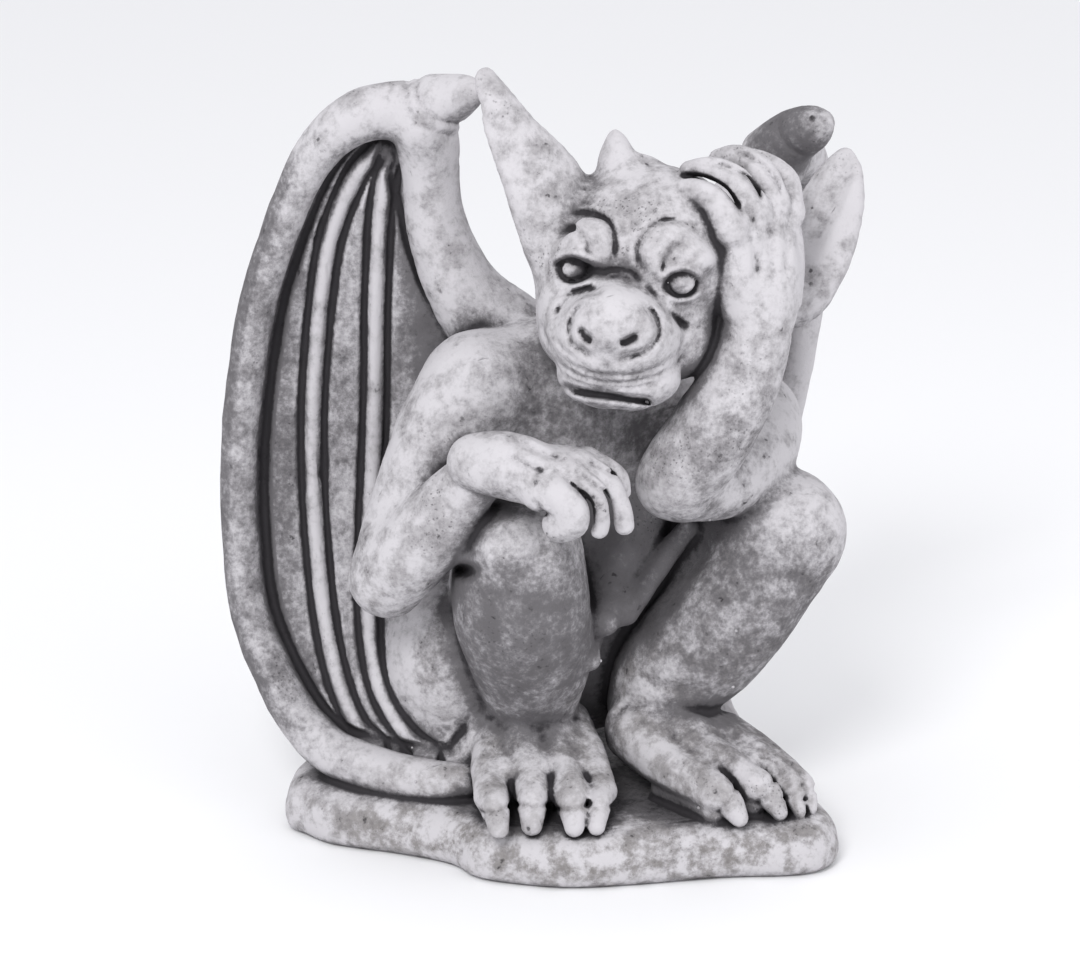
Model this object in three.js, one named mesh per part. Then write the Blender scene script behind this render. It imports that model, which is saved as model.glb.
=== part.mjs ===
// A crouching stone gargoyle, cast in one piece with its low slab.
// Millimetres, +Z up, origin on the slab's underside, the figure faces -Y.
//
// The figure is described as rounded forms that flow into each other: limbs along curves, balls,
// two cupped wings and a slab, with folds and grooves pressed into them. Their common surface is
// then meshed and its flat stretches are merged into larger facets.

import * as THREE from 'three';

// Driving dimensions
const FIGURE_HEIGHT = 350;      // slab top to the tip of the raised ear
const SLAB_THICKNESS = 26;
const SLAB_EDGE_RADIUS = 8;
const WING_SKIN = 13;           // thickness of the wing between its rim and ribs
const RIB_HEIGHT = 5;
const RIB_HALF_WIDTH = 8;
const FACET_BUDGET = 9400;
const MESH_STEP = 3.2;          // spacing of the surface samples

// The body is drawn for a figure 350 high that stands 26 above the ground.
const DRAWN_HEIGHT = 350;
const DRAWN_SLAB = 26;
const unit = FIGURE_HEIGHT / DRAWN_HEIGHT;
const place = ([x, y, z]) => [x * unit, y * unit, SLAB_THICKNESS + (z - DRAWN_SLAB) * unit];
const across = (length) => length * unit;

// Frames: an origin and three axes, right, up and front

function frame(origin, turn, tilt) {
  const [cosTurn, sinTurn, cosTilt, sinTilt] = [Math.cos(turn), Math.sin(turn), Math.cos(tilt), Math.sin(tilt)];
  return {
    origin: place(origin),
    right: [cosTurn, sinTurn, 0],
    up: [-sinTurn * sinTilt, cosTurn * sinTilt, cosTilt],
    front: [sinTurn * cosTilt, -cosTurn * cosTilt, sinTilt],
  };
}

function local(base, x, y, z) {
  const dx = x - base.origin[0];
  const dy = y - base.origin[1];
  const dz = z - base.origin[2];
  const along = (axis) => dx * axis[0] + dy * axis[1] + dz * axis[2];
  return [along(base.right), along(base.up), along(base.front)];
}

const degrees = Math.PI / 180;
const VIEWER = [-590, -1590, 728];      // where the figure's face looks

// A frame whose front looks at the viewer, so that its carving can be drawn as seen
function facing(origin) {
  const [x, y, z] = VIEWER.map((v, i) => v - origin[i]);
  return frame(origin, Math.atan2(x, -y), Math.atan2(z, Math.hypot(x, y)));
}

const HEAD = facing([26.5, -30, 285]);
const CHEST = facing([-4, -14, 214]);
const HAND = facing([-26, -60, 196]);
const RIGHT_FOOT = facing([-24, -40, 36]);
const LEFT_FOOT = facing([70, -55, 38]);
const SHIN = facing([80, -50, 110]);
const inFrame = (base) => ([r, u, f]) => [0, 1, 2].map((i) => (base.origin[i]
  + across(r * base.right[i] + u * base.up[i] + f * base.front[i])));

// Smooth joins

function blend(a, b, width) {
  const overlap = Math.max(width - Math.abs(a - b), 0) / width;
  return Math.min(a, b) - overlap * overlap * width / 4;
}

const cross = (a, b, width) => -blend(-a, -b, width);

function spline(points, i, t) {
  const last = points.length - 1;
  const [p, q, r, s] = [Math.max(i - 1, 0), i, Math.min(i + 1, last), Math.min(i + 2, last)].map((k) => points[k]);
  return q.map((value, k) => value + 0.5 * t * (r[k] - p[k]
    + t * (2 * p[k] - 5 * value + 4 * r[k] - s[k] + t * (3 * (value - r[k]) + s[k] - p[k]))));
}

function smoothed(points, pieces) {
  const result = [];
  for (let i = 0; i < points.length - 1; i += 1) {
    for (let j = 0; j < pieces; j += 1) result.push(spline(points, i, j / pieces));
  }
  result.push(points.at(-1));
  return result;
}

// Forms: each has a box that holds it and a distance to its surface, negative inside

function boxAround(points, reach) {
  const box = new THREE.Box3();
  for (const p of points) box.expandByPoint(new THREE.Vector3(p[0], p[1], p[2]));
  return box.expandByScalar(reach);
}

function tube(stations) {
  const n = stations.length - 1;
  const reach = Math.max(...stations.map((s) => s[3]));
  const starts = Float64Array.from(stations.flat());
  const steps = Float64Array.from(stations.slice(1).flatMap((s, i) => s.map((v, k) => v - stations[i][k])));
  const spans = Float64Array.from({ length: n }, (_, i) => (
    steps[4 * i] ** 2 + steps[4 * i + 1] ** 2 + steps[4 * i + 2] ** 2));
  const distance = (x, y, z) => {
    let best = Infinity;
    for (let i = 0, k = 0; i < n; i += 1, k += 4) {
      const px = x - starts[k];
      const py = y - starts[k + 1];
      const pz = z - starts[k + 2];
      const t = Math.min(Math.max((px * steps[k] + py * steps[k + 1] + pz * steps[k + 2]) / spans[i], 0), 1);
      const ex = px - t * steps[k];
      const ey = py - t * steps[k + 1];
      const ez = pz - t * steps[k + 2];
      const gap = Math.sqrt(ex * ex + ey * ey + ez * ez) - starts[k + 3] - t * steps[k + 3];
      if (gap < best) best = gap;
    }
    return best;
  };
  return { box: boxAround(stations, reach), distance };
}

// A limb is a rounded tube through stations [x, y, z, radius].
function limb(points, toPlace = place) {
  const stations = points.map((p) => [...toPlace(p), across(p[3])]);
  return tube(smoothed(stations, 4));
}

const headLimb = (points) => limb(points, inFrame(HEAD));
const handLimb = (points) => limb(points, inFrame(HAND));

// A flat limb is squeezed along one direction, as an ear or a palm is.
function flatLimb(points, direction, squeeze, toPlace = place) {
  const d = new THREE.Vector3(...direction).normalize().toArray();
  const stations = smoothed(points.map((p) => [...toPlace(p), across(p[3])]), 4);
  const stretch = ([x, y, z, radius]) => {
    const s = (x * d[0] + y * d[1] + z * d[2]) * (squeeze - 1);
    return [x + s * d[0], y + s * d[1], z + s * d[2], radius];
  };
  const round = tube(stations.map(stretch));
  const reach = Math.max(...stations.map((s) => s[3]));
  const distance = (x, y, z) => {
    const [sx, sy, sz] = stretch([x, y, z, 0]);
    return round.distance(sx, sy, sz) / squeeze;
  };
  return { box: boxAround(stations, reach), distance };
}

function ball(center, radii, base = null) {
  const c = base ? inFrame(base)(center) : place(center);
  const axes = base ? [base.right, base.up, base.front] : [[1, 0, 0], [0, 1, 0], [0, 0, 1]];
  const r = radii.map(across);
  const distance = (x, y, z) => {
    const [dx, dy, dz] = [x - c[0], y - c[1], z - c[2]];
    let near = 0;
    let steep = 0;
    for (let i = 0; i < 3; i += 1) {
      const q = (dx * axes[i][0] + dy * axes[i][1] + dz * axes[i][2]) / r[i];
      near += q * q;
      steep += (q / r[i]) * (q / r[i]);
    }
    const k = Math.sqrt(near);
    return k < 1e-6 ? -Math.min(...r) : k * (k - 1) / Math.sqrt(steep);
  };
  return { box: boxAround([c], Math.max(...r)), distance };
}

const headBall = (center, radii) => ball(center, radii, HEAD);

// Signed distance to a closed outline in a plane, negative inside
function outlineDistance(points) {
  const n = points.length;
  const flat = Float64Array.from(points.flat());
  return (x, y) => {
    let best = Infinity;
    let inside = false;
    for (let i = 0, j = n - 1; i < n; j = i, i += 1) {
      const ax = flat[2 * i];
      const ay = flat[2 * i + 1];
      const bx = flat[2 * j] - ax;
      const by = flat[2 * j + 1] - ay;
      const t = Math.min(Math.max(((x - ax) * bx + (y - ay) * by) / (bx * bx + by * by), 0), 1);
      const ex = x - ax - t * bx;
      const ey = y - ay - t * by;
      best = Math.min(best, ex * ex + ey * ey);
      if ((ay > y) !== (ay + by > y) && x < ax + (y - ay) * bx / by) inside = !inside;
    }
    return inside ? -Math.sqrt(best) : Math.sqrt(best);
  };
}

// Distance to an open line in a plane, and how far along it the nearest point lies, 0 to 1
function lineDistance(points) {
  const n = points.length - 1;
  const flat = Float64Array.from(points.flat());
  return (x, y) => {
    let best = Infinity;
    let along = 0;
    for (let i = 0; i < n; i += 1) {
      const ax = flat[2 * i];
      const ay = flat[2 * i + 1];
      const bx = flat[2 * i + 2] - ax;
      const by = flat[2 * i + 3] - ay;
      const t = Math.min(Math.max(((x - ax) * bx + (y - ay) * by) / (bx * bx + by * by), 0), 1);
      const ex = x - ax - t * bx;
      const ey = y - ay - t * by;
      if (ex * ex + ey * ey < best) {
        best = ex * ex + ey * ey;
        along = (i + t) / n;
      }
    }
    return [Math.sqrt(best), along];
  };
}

// A group joins its forms with one blend width, and its carved lines are pressed into the result.
function group(width, forms, lines = []) {
  const box = forms.reduce((whole, form) => whole.union(form.box), new THREE.Box3());
  const point = new THREE.Vector3();
  const blendWidth = across(width);
  const distance = (x, y, z) => {
    point.set(x, y, z);
    let result = Infinity;
    for (const form of forms) {
      const away = form.box.distanceToPoint(point);
      if (away < result + blendWidth) {
        const next = form.distance(x, y, z);
        result = result === Infinity ? next : blend(result, next, blendWidth);
      }
    }
    for (const line of lines) result += line(x, y, z);
    return result;
  };
  return { box, distance };
}

// A carved line: a smooth stroke of points [right, up] in a frame, on the side that faces its front.
// A positive depth is pressed in and a negative one raised.
function carve(base, points, width, depth, deepest = -22) {
  const stroke = smoothed(points, 3);
  const nearest = lineDistance(stroke);
  const us = stroke.map((p) => p[1]);
  const rs = stroke.map((p) => p[0]);
  const [low, high] = [Math.min(...us) - width, Math.max(...us) + width];
  const [left, right] = [Math.min(...rs) - width, Math.max(...rs) + width];
  return (x, y, z) => {
    const [r, u, f] = local(base, x, y, z).map((v) => v / unit);
    if (u < low || u > high || r < left || r > right || f < deepest) return 0;
    const [gap, along] = nearest(r, u);
    if (gap > width) return 0;
    const taper = Math.min(1, 5 * along + 0.1, 5 * (1 - along) + 0.1);
    const profile = (1 - (gap / width) ** 2) ** 2;
    return across(depth) * profile * taper;
  };
}

// An oval hollow, pressed in by a depth
function dent(base, [atRight, atUp], [wide, tall], depth, deepest = -22) {
  return (x, y, z) => {
    const [r, u, f] = local(base, x, y, z).map((v) => v / unit);
    const away = ((r - atRight) / wide) ** 2 + ((u - atUp) / tall) ** 2;
    return away < 1 && f > deepest ? across(depth) * (1 - away) ** 2 : 0;
  };
}

// Torso

const torso = group(14, [
  ball([24, 48, 82], [66, 42, 52]),
  ball([30, 30, 128], [50, 36, 52]),
  ball([34, 28, 188], [62, 34, 44]),
  ball([4, 12, 203], [42, 27, 33]),
  ball([36, 44, 168], [54, 30, 70]),
  limb([[-38, 12, 222, 25], [0, 14, 228, 26], [38, 18, 226, 28], [72, 16, 212, 27], [100, 14, 190, 24]]),
  limb([[40, 26, 222, 32], [36, 8, 246, 31], [30, -10, 268, 30]]),
], [carve(CHEST, [[-29, -6], [-28, 4], [-24.5, 6.5], [-17.5, 1.5], [-9, 1.5]], 4, 2, -30)]);
const belly = group(8, [
  limb([[60, -18, 152, 5], [48, -18, 137, 5.5], [35, -20, 122, 5.5], [27, -22, 112, 5]]),
  limb([[46, -4, 158, 9], [32, -7, 140, 10], [24, -9, 128, 9]]),
  limb([[13, -24, 112, 8], [20, -8, 118, 12]]),
  limb([[4, -30, 95, 4.5], [8, -14, 98, 6], [14, 2, 104, 10]]),
]);

// Arms and hands

const rightArm = group(6, [
  limb([[-38, 10, 223, 28], [-55, 10, 201, 24.5], [-71, 8, 177, 19], [-83, 4, 154, 17], [-88, 1, 137, 16.5]]),
  limb([
    [-87, 0, 137, 16.5], [-82, -8, 149, 19], [-71, -18, 167, 18.5], [-60, -29, 187, 14.5], [-52, -37, 200, 13],
  ]),
]);

const rightFingers = [          // right, up, front and radius in the hand's frame
  [[-6, -2, 9, 10], [5, -7, 15, 9.4], [7.5, -14.5, 13, 9.2], [2.5, -18, 8, 8.6]],
  [[5, 4, 6, 8.2], [17, -3.5, 10, 6.2], [20.5, -11.5, 9, 5.3], [20, -20, 5, 4.8]],
  [[11.5, 8, 0, 7.4], [23.5, 1.5, 3, 5.6], [29, -8.5, 2, 4.8], [31.5, -18.5, -1, 4.6]],
  [[15, 10.5, -7, 6.6], [23.5, 7.5, -5, 5], [29.5, 3, -6, 4.2], [31, -3, -9, 3.8]],
];
const rightHandGaps = [
  [[3, 3.5], [9.8, -2.5], [15.5, -7.4], [17.2, -14.7], [16.2, -22.3]],
  [[9, 6.6], [15.9, 1.3], [22, -3.7], [25, -9.3], [25.3, -17]],
];
const rightHand = group(2, [
  handLimb([[-36, 10, -4, 13.5], [-24, 9, 0, 15.5], [-12, 6, 2, 15], [-2, 1, 2, 13]]),
  ...rightFingers.flatMap((stations) => [handLimb([[-14, 7, -1, 12], stations[0]]), handLimb(stations)]),
], rightHandGaps.map((points) => carve(HAND, points, 3.2, 2.6)));

const leftArm = group(6, [
  limb([[101, 12, 192, 25], [92, -8, 186, 23.5], [70, -28, 182, 22], [46, -42, 183, 18]]),
  headLimb([
    [15, -100, -17, 16], [20, -94, -12, 19.5], [34, -74, -3, 20], [45, -54, 2, 18.5], [52, -35, 4, 17],
    [55, -17, 4, 16.5],
  ]),
]);

const leftFingers = [           // right, up, front and radius in the head's frame
  [[41.5, 19, 22, 9.4], [35, 31, 22, 8.4], [26, 36, 19, 7.2], [18, 38, 14, 5.2]],
  [[51, 27, 14, 8.6], [43, 40, 16, 7.4], [31.5, 45.5, 12, 6.5], [22.5, 45, 8, 5]],
  [[61, 30, 4, 7.8], [55, 45, 4, 7], [45, 51.5, -1, 6.2], [36, 51, -6, 4.8]],
  [[69, 27, -4, 7], [67, 40.5, -6, 6.2], [60, 48, -11, 5.6], [52, 52, -16, 4.4]],
];
const leftHandGaps = [
  [[14, 41.5], [25, 42.6], [35, 39], [42, 32], [47, 23]],
  [[28, 50], [40, 46.5], [48, 42], [53, 35.5], [56.5, 28]],
  [[42, 55.5], [54, 49], [61, 42], [65.5, 33]],
];
const leftHand = group(2, [
  headLimb([[55, -18, 4, 17], [56, -4, 3, 18], [55, 8, 3, 17], [54, 18, 3, 14]]),
  headLimb([[45, 13, 16, 10.5], [45, -2, 14, 12], [49, -16, 9, 13]]),
  headLimb([[66, 16, -4, 9], [66, 2, -3, 10], [64, -12, 0, 11]]),
  ...leftFingers.flatMap((stations) => [headLimb([[53, 6, 5, 12], stations[0]]), headLimb(stations)]),
], leftHandGaps.map((points) => carve(HEAD, points, 3.2, 2.4)));

// Legs and feet

const rightLeg = group(8, [
  limb([[-32, -29, 155, 25], [-21, 8, 126, 32], [0, 45, 92, 38]]),
  limb([
    [-30, -30, 152, 27], [-29, -22, 126, 32.5], [-21, -11, 99, 30], [-16.5, -2, 78, 25], [-14, 2, 60, 20.5],
  ]),
  ball([-43, -43, 162], [13, 12, 13]),
  ball([-50, -25, 155], [9.5, 9, 8.5]),
], [
  dent(HAND, [-41, -40], [9, 6], 5, -60),
  carve(HAND, [[-9, -14], [-6, -27], [-13, -38], [-31, -41]], 5.5, 2.2, -60),
]);

const leftLeg = group(8, [
  limb([[103, -24, 148, 29.5], [90, 6, 132, 34], [64, 40, 98, 40]]),
  limb([[102, -26, 145, 29], [86.5, -26, 121, 28.5], [69, -18, 97, 30.5], [53.5, -10, 77, 28], [47, -5, 58, 24]]),
  ball([108, -38, 152], [17, 13, 18]),
], [carve(SHIN, [[-60, -22], [-49.5, -28], [-36, -30], [-20, -31]], 4.6, 2, -40)]);

const haunch = group(6, [ball([-46, 34, 82], [32, 36, 44]), ball([84, 40, 80], [28, 34, 40])]);

// A foot's toes run from the instep over the middle and the knuckle to the claw's tip.
const CLAW_START = 0.86;        // shares of the knuckle's radius
const CLAW_MIDDLE = 0.76;
const PAD = 0.6;
const PAD_HEIGHT = 31;
const WEB_LENGTH = [1, 0.75, 0.45];

function foot(base, toes, grooves) {
  const webs = toes.slice(1).map((toe, i) => {
    const web = [0, 1, 2].map((k) => toe[k].map((v, j) => (v + toes[i][k][j]) / 2));
    for (const k of [1, 2]) web[k] = web[k].map((v, j) => web[k - 1][j] + (v - web[k - 1][j]) * WEB_LENGTH[k]);
    return limb(web.map(([x, y, z, radius]) => [x, y, z - 3, radius]));
  });
  const parts = toes.flatMap(([start, middle, knuckle, tip]) => {
    const claw = knuckle.map((v, k) => (v + tip[k]) / 2);
    return [
      limb([start, middle, knuckle]),
      limb([
        [...knuckle.slice(0, 3), knuckle[3] * CLAW_START],
        [claw[0], claw[1], claw[2] + 2.5, knuckle[3] * CLAW_MIDDLE],
        tip,
      ]),
      limb([middle, knuckle].map(([x, y, , radius]) => [x, y, PAD_HEIGHT, PAD * radius])),
    ];
  });
  return group(2, [...webs, ...parts], grooves.map((points) => carve(base, points, 4, 2.4, -30)));
}

const rightFoot = foot(RIGHT_FOOT, [
  [[-29, 2, 52, 14], [-43, -18, 44, 9], [-50, -40, 38, 7.6], [-54, -60, 29, 3.6]],
  [[-22, -4, 56, 14], [-27, -25, 47, 9], [-31, -43, 40, 8.8], [-38.5, -64, 29.5, 3.8]],
  [[-10, -6, 56, 14], [-12, -30, 47, 8.8], [-15, -52, 40, 8.8], [-20.5, -72, 29.5, 3.8]],
  [[0, -2, 52, 14], [3, -29, 44, 8.2], [0, -52, 38, 7], [-10, -74, 29, 3.4]],
], [
  [[-18.5, 24], [-15.5, 12], [-15.5, -2]],
  [[-2, 28], [2, 18], [3, 2]],
  [[9, 28], [15, 18], [21, 4]],
  [[-28.5, 35.5], [-18.5, 39.5], [-4.5, 41.5], [9, 39.5], [17, 34.5]],
]);
const leftFoot = foot(LEFT_FOOT, [
  [[34, -18, 52, 18], [37, -43, 45, 13], [49, -74, 40, 10], [56.5, -87, 30, 4.4]],
  [[48, -26, 54, 16], [57, -51, 49, 10], [69, -75, 41, 9], [77, -87, 30, 4]],
  [[62, -28, 50, 14], [77, -55, 45, 9], [86, -73, 39, 7.6], [87.5, -87, 29, 3.2]],
  [[74, -26, 46, 12], [89, -56, 41, 7.4], [94, -75, 36, 6], [95, -85, 28.5, 2.6]],
], [
  [[-34.5, 21], [-28.5, 13], [-12.5, 5], [3.5, -11]],
  [[-18.5, 21], [-4.5, 15], [11.5, 3]],
  [[-8.5, 21], [11.5, 9], [25.5, -6.5]],
  [[-64, 22], [-54.5, 30.5], [-43.5, 33.5], [-28, 33.5], [-14, 29.5]],
]);

// Head

const faceFolds = [             // stroke, half width and depth
  [[[-35, 23.5], [-30, 25.5], [-23.5, 25.5], [-17.5, 23.5], [-13, 19.5], [-11.5, 13.5], [-11.5, 8], [-12.5, 2]],
    3.6, 2.6],
  [[[-37, 16], [-32, 18.5], [-28, 17], [-24.5, 13], [-23, 7], [-21.5, 1.5], [-17.5, -1.5]], 3.4, 2.4],
  [[[19.5, 22.5], [12.5, 22.5], [6, 20], [1.5, 15.5], [-1, 10], [-0.5, 4.5], [2.5, -0.5]], 3.6, 2.6],
  [[[19.5, 12], [15, 11], [12, 7], [10.5, 2.5], [10.5, -1.5]], 3.2, 2],
  [[[-17.5, -1.5], [-10.5, 0], [-4, -1], [0.5, -5.5]], 3.2, 1.6],
  [[[-16, -8.5], [-22, -9.5], [-28, -11], [-32.5, -14.5], [-36, -19], [-38, -24.5]], 4.2, 3],
  [[[1, -6], [6, -11], [10.5, -16.5], [14.5, -21.5], [18.5, -24.5], [22.5, -27.5]], 3.6, 2.2],
  [[[-22.5, -16], [-27, -17], [-30, -22], [-31, -28], [-29, -34], [-24, -37.5], [-19, -41]], 3.4, 2.6],
  [[[-1, -16.5], [4.5, -18], [8, -23.5], [8, -30], [3, -36], [-5, -39.5], [-12, -43]], 3.4, 2.6],
  [[[-26.5, -26], [-24.5, -29.5], [-20.5, -32.5]], 3.6, 3],
  [[[-9.5, -33], [-5, -31.5], [-0.5, -29.5]], 3.6, 3],
  [[[-35, -53], [-28, -55], [-20.5, -56], [-12, -57], [-3.5, -58.5], [3.5, -59.5], [5, -62]], 3.6, 4.2],
];
const eyes = [[-29.5, 0, 26], [19, -5.5, 33]];
const EYE_RADIUS = 5.9;

const head = group(6, [
  headBall([4, 7, -8], [46, 42, 45]),
  headBall([-11.5, -28, 24], [31, 27, 30]),
  headBall([-13, -21, 46], [18, 13, 13]),
  headBall([-24, -27, 43], [7.5, 10, 8]),
  headBall([-1.5, -27, 46], [9.5, 10, 8]),
  headBall([-13, -27, 52], [9, 8.5, 9]),
  headBall([-35, -18, 5], [13, 26, 25]),
  headBall([17, -27, -3], [19, 24, 25]),
  headBall([-9, -49, 19], [28, 16, 19]),
  headBall([-32, 4, 0], [16, 22, 24]),
  headBall([-21, 12, 31], [12, 12, 9]),
  headBall([-31, 9, 24], [8, 6, 7]),
  headBall([10, 11, 33], [15, 12, 9]),
  headBall([23, 5, 31], [11, 7, 9]),
  headLimb([[-8, 40, -2, 12], [-10.5, 49, -3, 9.5], [-11.5, 57, -4, 6], [-12, 61, -5, 3.4]]),
  headBall([2, 46, -5], [7, 6.5, 6]),
], [
  ...faceFolds.map(([points, width, depth]) => carve(HEAD, points, width, depth)),
  ...eyes.map((eye) => dent(HEAD, eye, [11, 8], 4.6)),
]);
const eyeballs = group(1, eyes.map((eye) => headBall(eye, [EYE_RADIUS, 0.92 * EYE_RADIUS, EYE_RADIUS])));

const rightEar = group(3, [
  flatLimb([
    [-6, -16, 303, 23], [-14, -14, 323, 20.5], [-25, -9, 343, 14.5], [-34, -3, 362, 9.6], [-38, 0, 373, 5.5],
  ], [0.3, -0.94, 0.1], 1.7),
]);
const leftEar = group(3, [
  flatLimb([
    [78, -16, 262, 14], [108, -14, 262, 17], [120, -12, 276, 19], [131, -8, 296, 17.5], [139, -3, 312, 12],
    [142.5, 0, 321, 6],
  ], [-0.75, -0.6, 0.2], 1.9),
], [carve(HEAD, [[98, 52], [92, 38], [86, 24], [78, 8]], 7, 3, -70)]);

// Wings: a cupped skin inside a rounded rim, ribs that fan from the wrist, an arm and a claw

const interpolate = (table, key) => {
  const at = table.findIndex(([k]) => k >= key);
  if (at < 0) return table.at(-1)[1];
  if (at === 0) return table[0][1];
  const [[k0, v0], [k1, v1]] = [table[at - 1], table[at]];
  return v0 + (v1 - v0) * (key - k0) / (k1 - k0);
};

function wing({ base, rim, arm, claw, inner, ribs, slope, recess }) {
  const rimStations = rim.map(place);
  const toLocal = (p) => {
    const [a, , c] = local(base, p[0], p[1], base.origin[2]);
    return [a, p[2], c];
  };
  const rimLocal = smoothed(rimStations.map(toLocal), 3);
  const innerLocal = smoothed(inner.map(place).map(toLocal), 3);
  const outside = outlineDistance([...rimLocal, ...innerLocal].map(([a, b]) => [a, b]));
  const side = rimLocal.map(([a, b, c]) => [b, a, c]).sort((p, q) => p[0] - q[0]);
  const edge = side.map(([b, a]) => [b, a]);
  const edgeFront = side.map(([b, , c]) => [b, c]);
  const ribLines = ribs.map((rib) => (
    lineDistance(smoothed(rib.map(([a, b]) => [across(a), place([0, 0, b])[2]]), 3))));
  const skin = across(WING_SKIN);
  const distance = (x, y, z) => {
    const [a, , c] = local(base, x, y, base.origin[2]);
    const away = outside(a, z);
    if (away > 3 * skin) return 0.8 * away;
    const lean = interpolate(slope, z / unit);
    let front = interpolate(edgeFront, z) - across(recess) + lean * (interpolate(edge, z) - a);
    for (const line of ribLines) {
      const [gap] = line(a, z);
      const wide = across(RIB_HALF_WIDTH);
      if (gap < wide) front += across(RIB_HEIGHT) * (1 - (gap / wide) ** 2) ** 2;
    }
    const sheet = Math.abs(c - front + skin / 2) - skin / 2;
    return 0.8 * cross(sheet, away, across(4));
  };
  const box = boxAround([...rimStations, ...inner.map(place)], across(30));
  return group(4, [{ box, distance }, limb(rim), limb(arm), limb(claw)]);
}

const rightWing = wing({
  base: { ...frame([0, 0, DRAWN_SLAB], -20 * degrees, 0), right: [-0.94, 0.342, 0] },
  rim: [
    [-52, 44, 351, 14], [-67, 48, 350.5, 13.5], [-82, 52, 348, 12.5], [-95, 58, 338, 11], [-106, 64, 320, 9.6],
    [-118, 72, 286, 9], [-128, 78, 247, 9], [-136, 82, 182, 8.8], [-136.5, 80, 132, 9], [-134, 76, 100, 9.4],
    [-126.5, 64, 73, 10], [-116, 50, 50, 10.8], [-104, 36, 38, 11.4], [-86, 16, 33.5, 11.4], [-66, -2, 33, 10],
    [-54, -9, 34, 8.5],
  ],
  arm: [
    [-54, 42, 345, 16], [-50, 46, 330, 14.5], [-48.5, 48, 312, 13.5], [-46, 48, 294, 14.5], [-40, 46, 275, 16],
    [-30, 44, 256, 18.5], [-14, 40, 238, 23],
  ],
  claw: [[-50, 41, 353, 14.5], [-44, 34, 357, 11.8], [-39.5, 26, 361, 9], [-37.5, 22, 362.5, 6]],
  inner: [[-36, 8, 50], [-20, 30, 110], [-14, 32, 170], [-20, 36, 226], [-42, 46, 270], [-56, 48, 318]],
  ribs: [
    [
      [86, 331], [96, 320], [104, 304], [110.5, 285], [115, 259], [118, 231], [120.5, 197], [120.5, 158],
      [118, 120], [115, 95], [109, 70], [100, 50], [90, 42],
    ],
    [
      [79, 331], [83, 318], [86, 300], [88, 275], [89.5, 240], [90.5, 200], [93, 150], [94, 110], [92, 84],
      [86, 64], [74, 48], [64, 42],
    ],
  ],
  slope: [[40, 0.42], [110, 0.2], [180, 0], [400, 0]],
  recess: 6,
});

const leftWing = wing({
  base: { ...frame([102, -7, DRAWN_SLAB], 47 * degrees, 0), right: [0.682, 0.731, 0] },
  rim: [
    [130, 50, 314, 15], [152, 72, 306, 12.5], [166, 90, 280, 11], [170, 98, 245, 10], [165, 100, 200, 9.5],
    [154, 94, 160, 9.5], [136, 78, 110, 10], [113, 50, 74, 10.5], [87, 23, 50, 10], [89, 11, 34, 10],
  ],
  arm: [[128, 48, 310, 15], [112, 54, 288, 16], [92, 52, 262, 18], [58, 46, 234, 26]],
  claw: [[124, 46, 315, 14.5], [130, 35, 325, 13.5], [134.5, 25, 331, 11.5], [137, 18, 334.5, 7.5]],
  inner: [[56, 34, 56], [52, 44, 110], [54, 50, 170], [64, 54, 226], [92, 54, 266], [120, 52, 300]],
  ribs: [
    [[72, 300], [88, 270], [96, 230], [96, 190], [88, 150], [70, 112], [44, 80], [22, 60]],
    [[62, 296], [66, 262], [68, 220], [64, 180], [56, 140], [42, 104], [26, 80], [10, 62]],
  ],
  slope: [[40, -0.5], [110, -0.45], [226, -0.43], [268, -0.36], [300, -0.2], [340, 0]],
  recess: 6,
});

// Slab

const slabOutline = [
  [-128, 42], [-124, 28], [-115, 11], [-87, -12], [-69, -31], [-61, -52], [-28, -75], [8, -84], [47, -90],
  [83, -100], [101, -96], [111, -80], [112, -50], [112, 0], [110, 50], [96, 84], [56, 97], [0, 98], [-60, 92],
  [-110, 76],
];

function slab() {
  const closed = [...slabOutline, ...slabOutline.slice(0, 3)].map(([x, y]) => [across(x), across(y)]);
  const pieces = 3;
  const smooth = smoothed(closed, pieces).slice(pieces, -2 * pieces);
  const outside = outlineDistance(smooth);
  const corners = smooth.flatMap(([x, y]) => [[x, y, 0], [x, y, SLAB_THICKNESS]]);
  const distance = (x, y, z) => {
    const sides = outside(x, y);
    const rounded = cross(sides, z - SLAB_THICKNESS, 2.4 * SLAB_EDGE_RADIUS);
    return cross(rounded, -z, SLAB_EDGE_RADIUS);
  };
  return { box: boxAround(corners, SLAB_EDGE_RADIUS), distance };
}

// The whole figure: neighbours flow into each other by their own widths

const joins = [
  [torso, 1], [belly, 8], [rightWing, 5], [leftWing, 5], [haunch, 4], [rightLeg, 4], [leftLeg, 4], [rightArm, 5],
  [leftArm, 5], [head, 3], [rightEar, 6], [leftEar, 3], [eyeballs, 0.8], [rightHand, 2], [leftHand, 2],
  [rightFoot, 3], [leftFoot, 3], [slab(), 3],
];

const samplePoint = new THREE.Vector3();

function figureDistance(x, y, z) {
  const point = samplePoint.set(x, y, z);
  let result = Infinity;
  for (const [form, width] of joins) {
    const reach = across(width);
    const away = form.box.distanceToPoint(point);
    if (away < result + reach) {
      const next = form.distance(x, y, z);
      result = result === Infinity ? next : blend(result, next, reach);
    } else if (result === Infinity) {
      result = away + reach;
    }
  }
  return Math.max(result, -z);
}

// Surface sampling: the space is cut into small cubes, each into six tetrahedra, and the surface
// is laid through the tetrahedra that it crosses.

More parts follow.
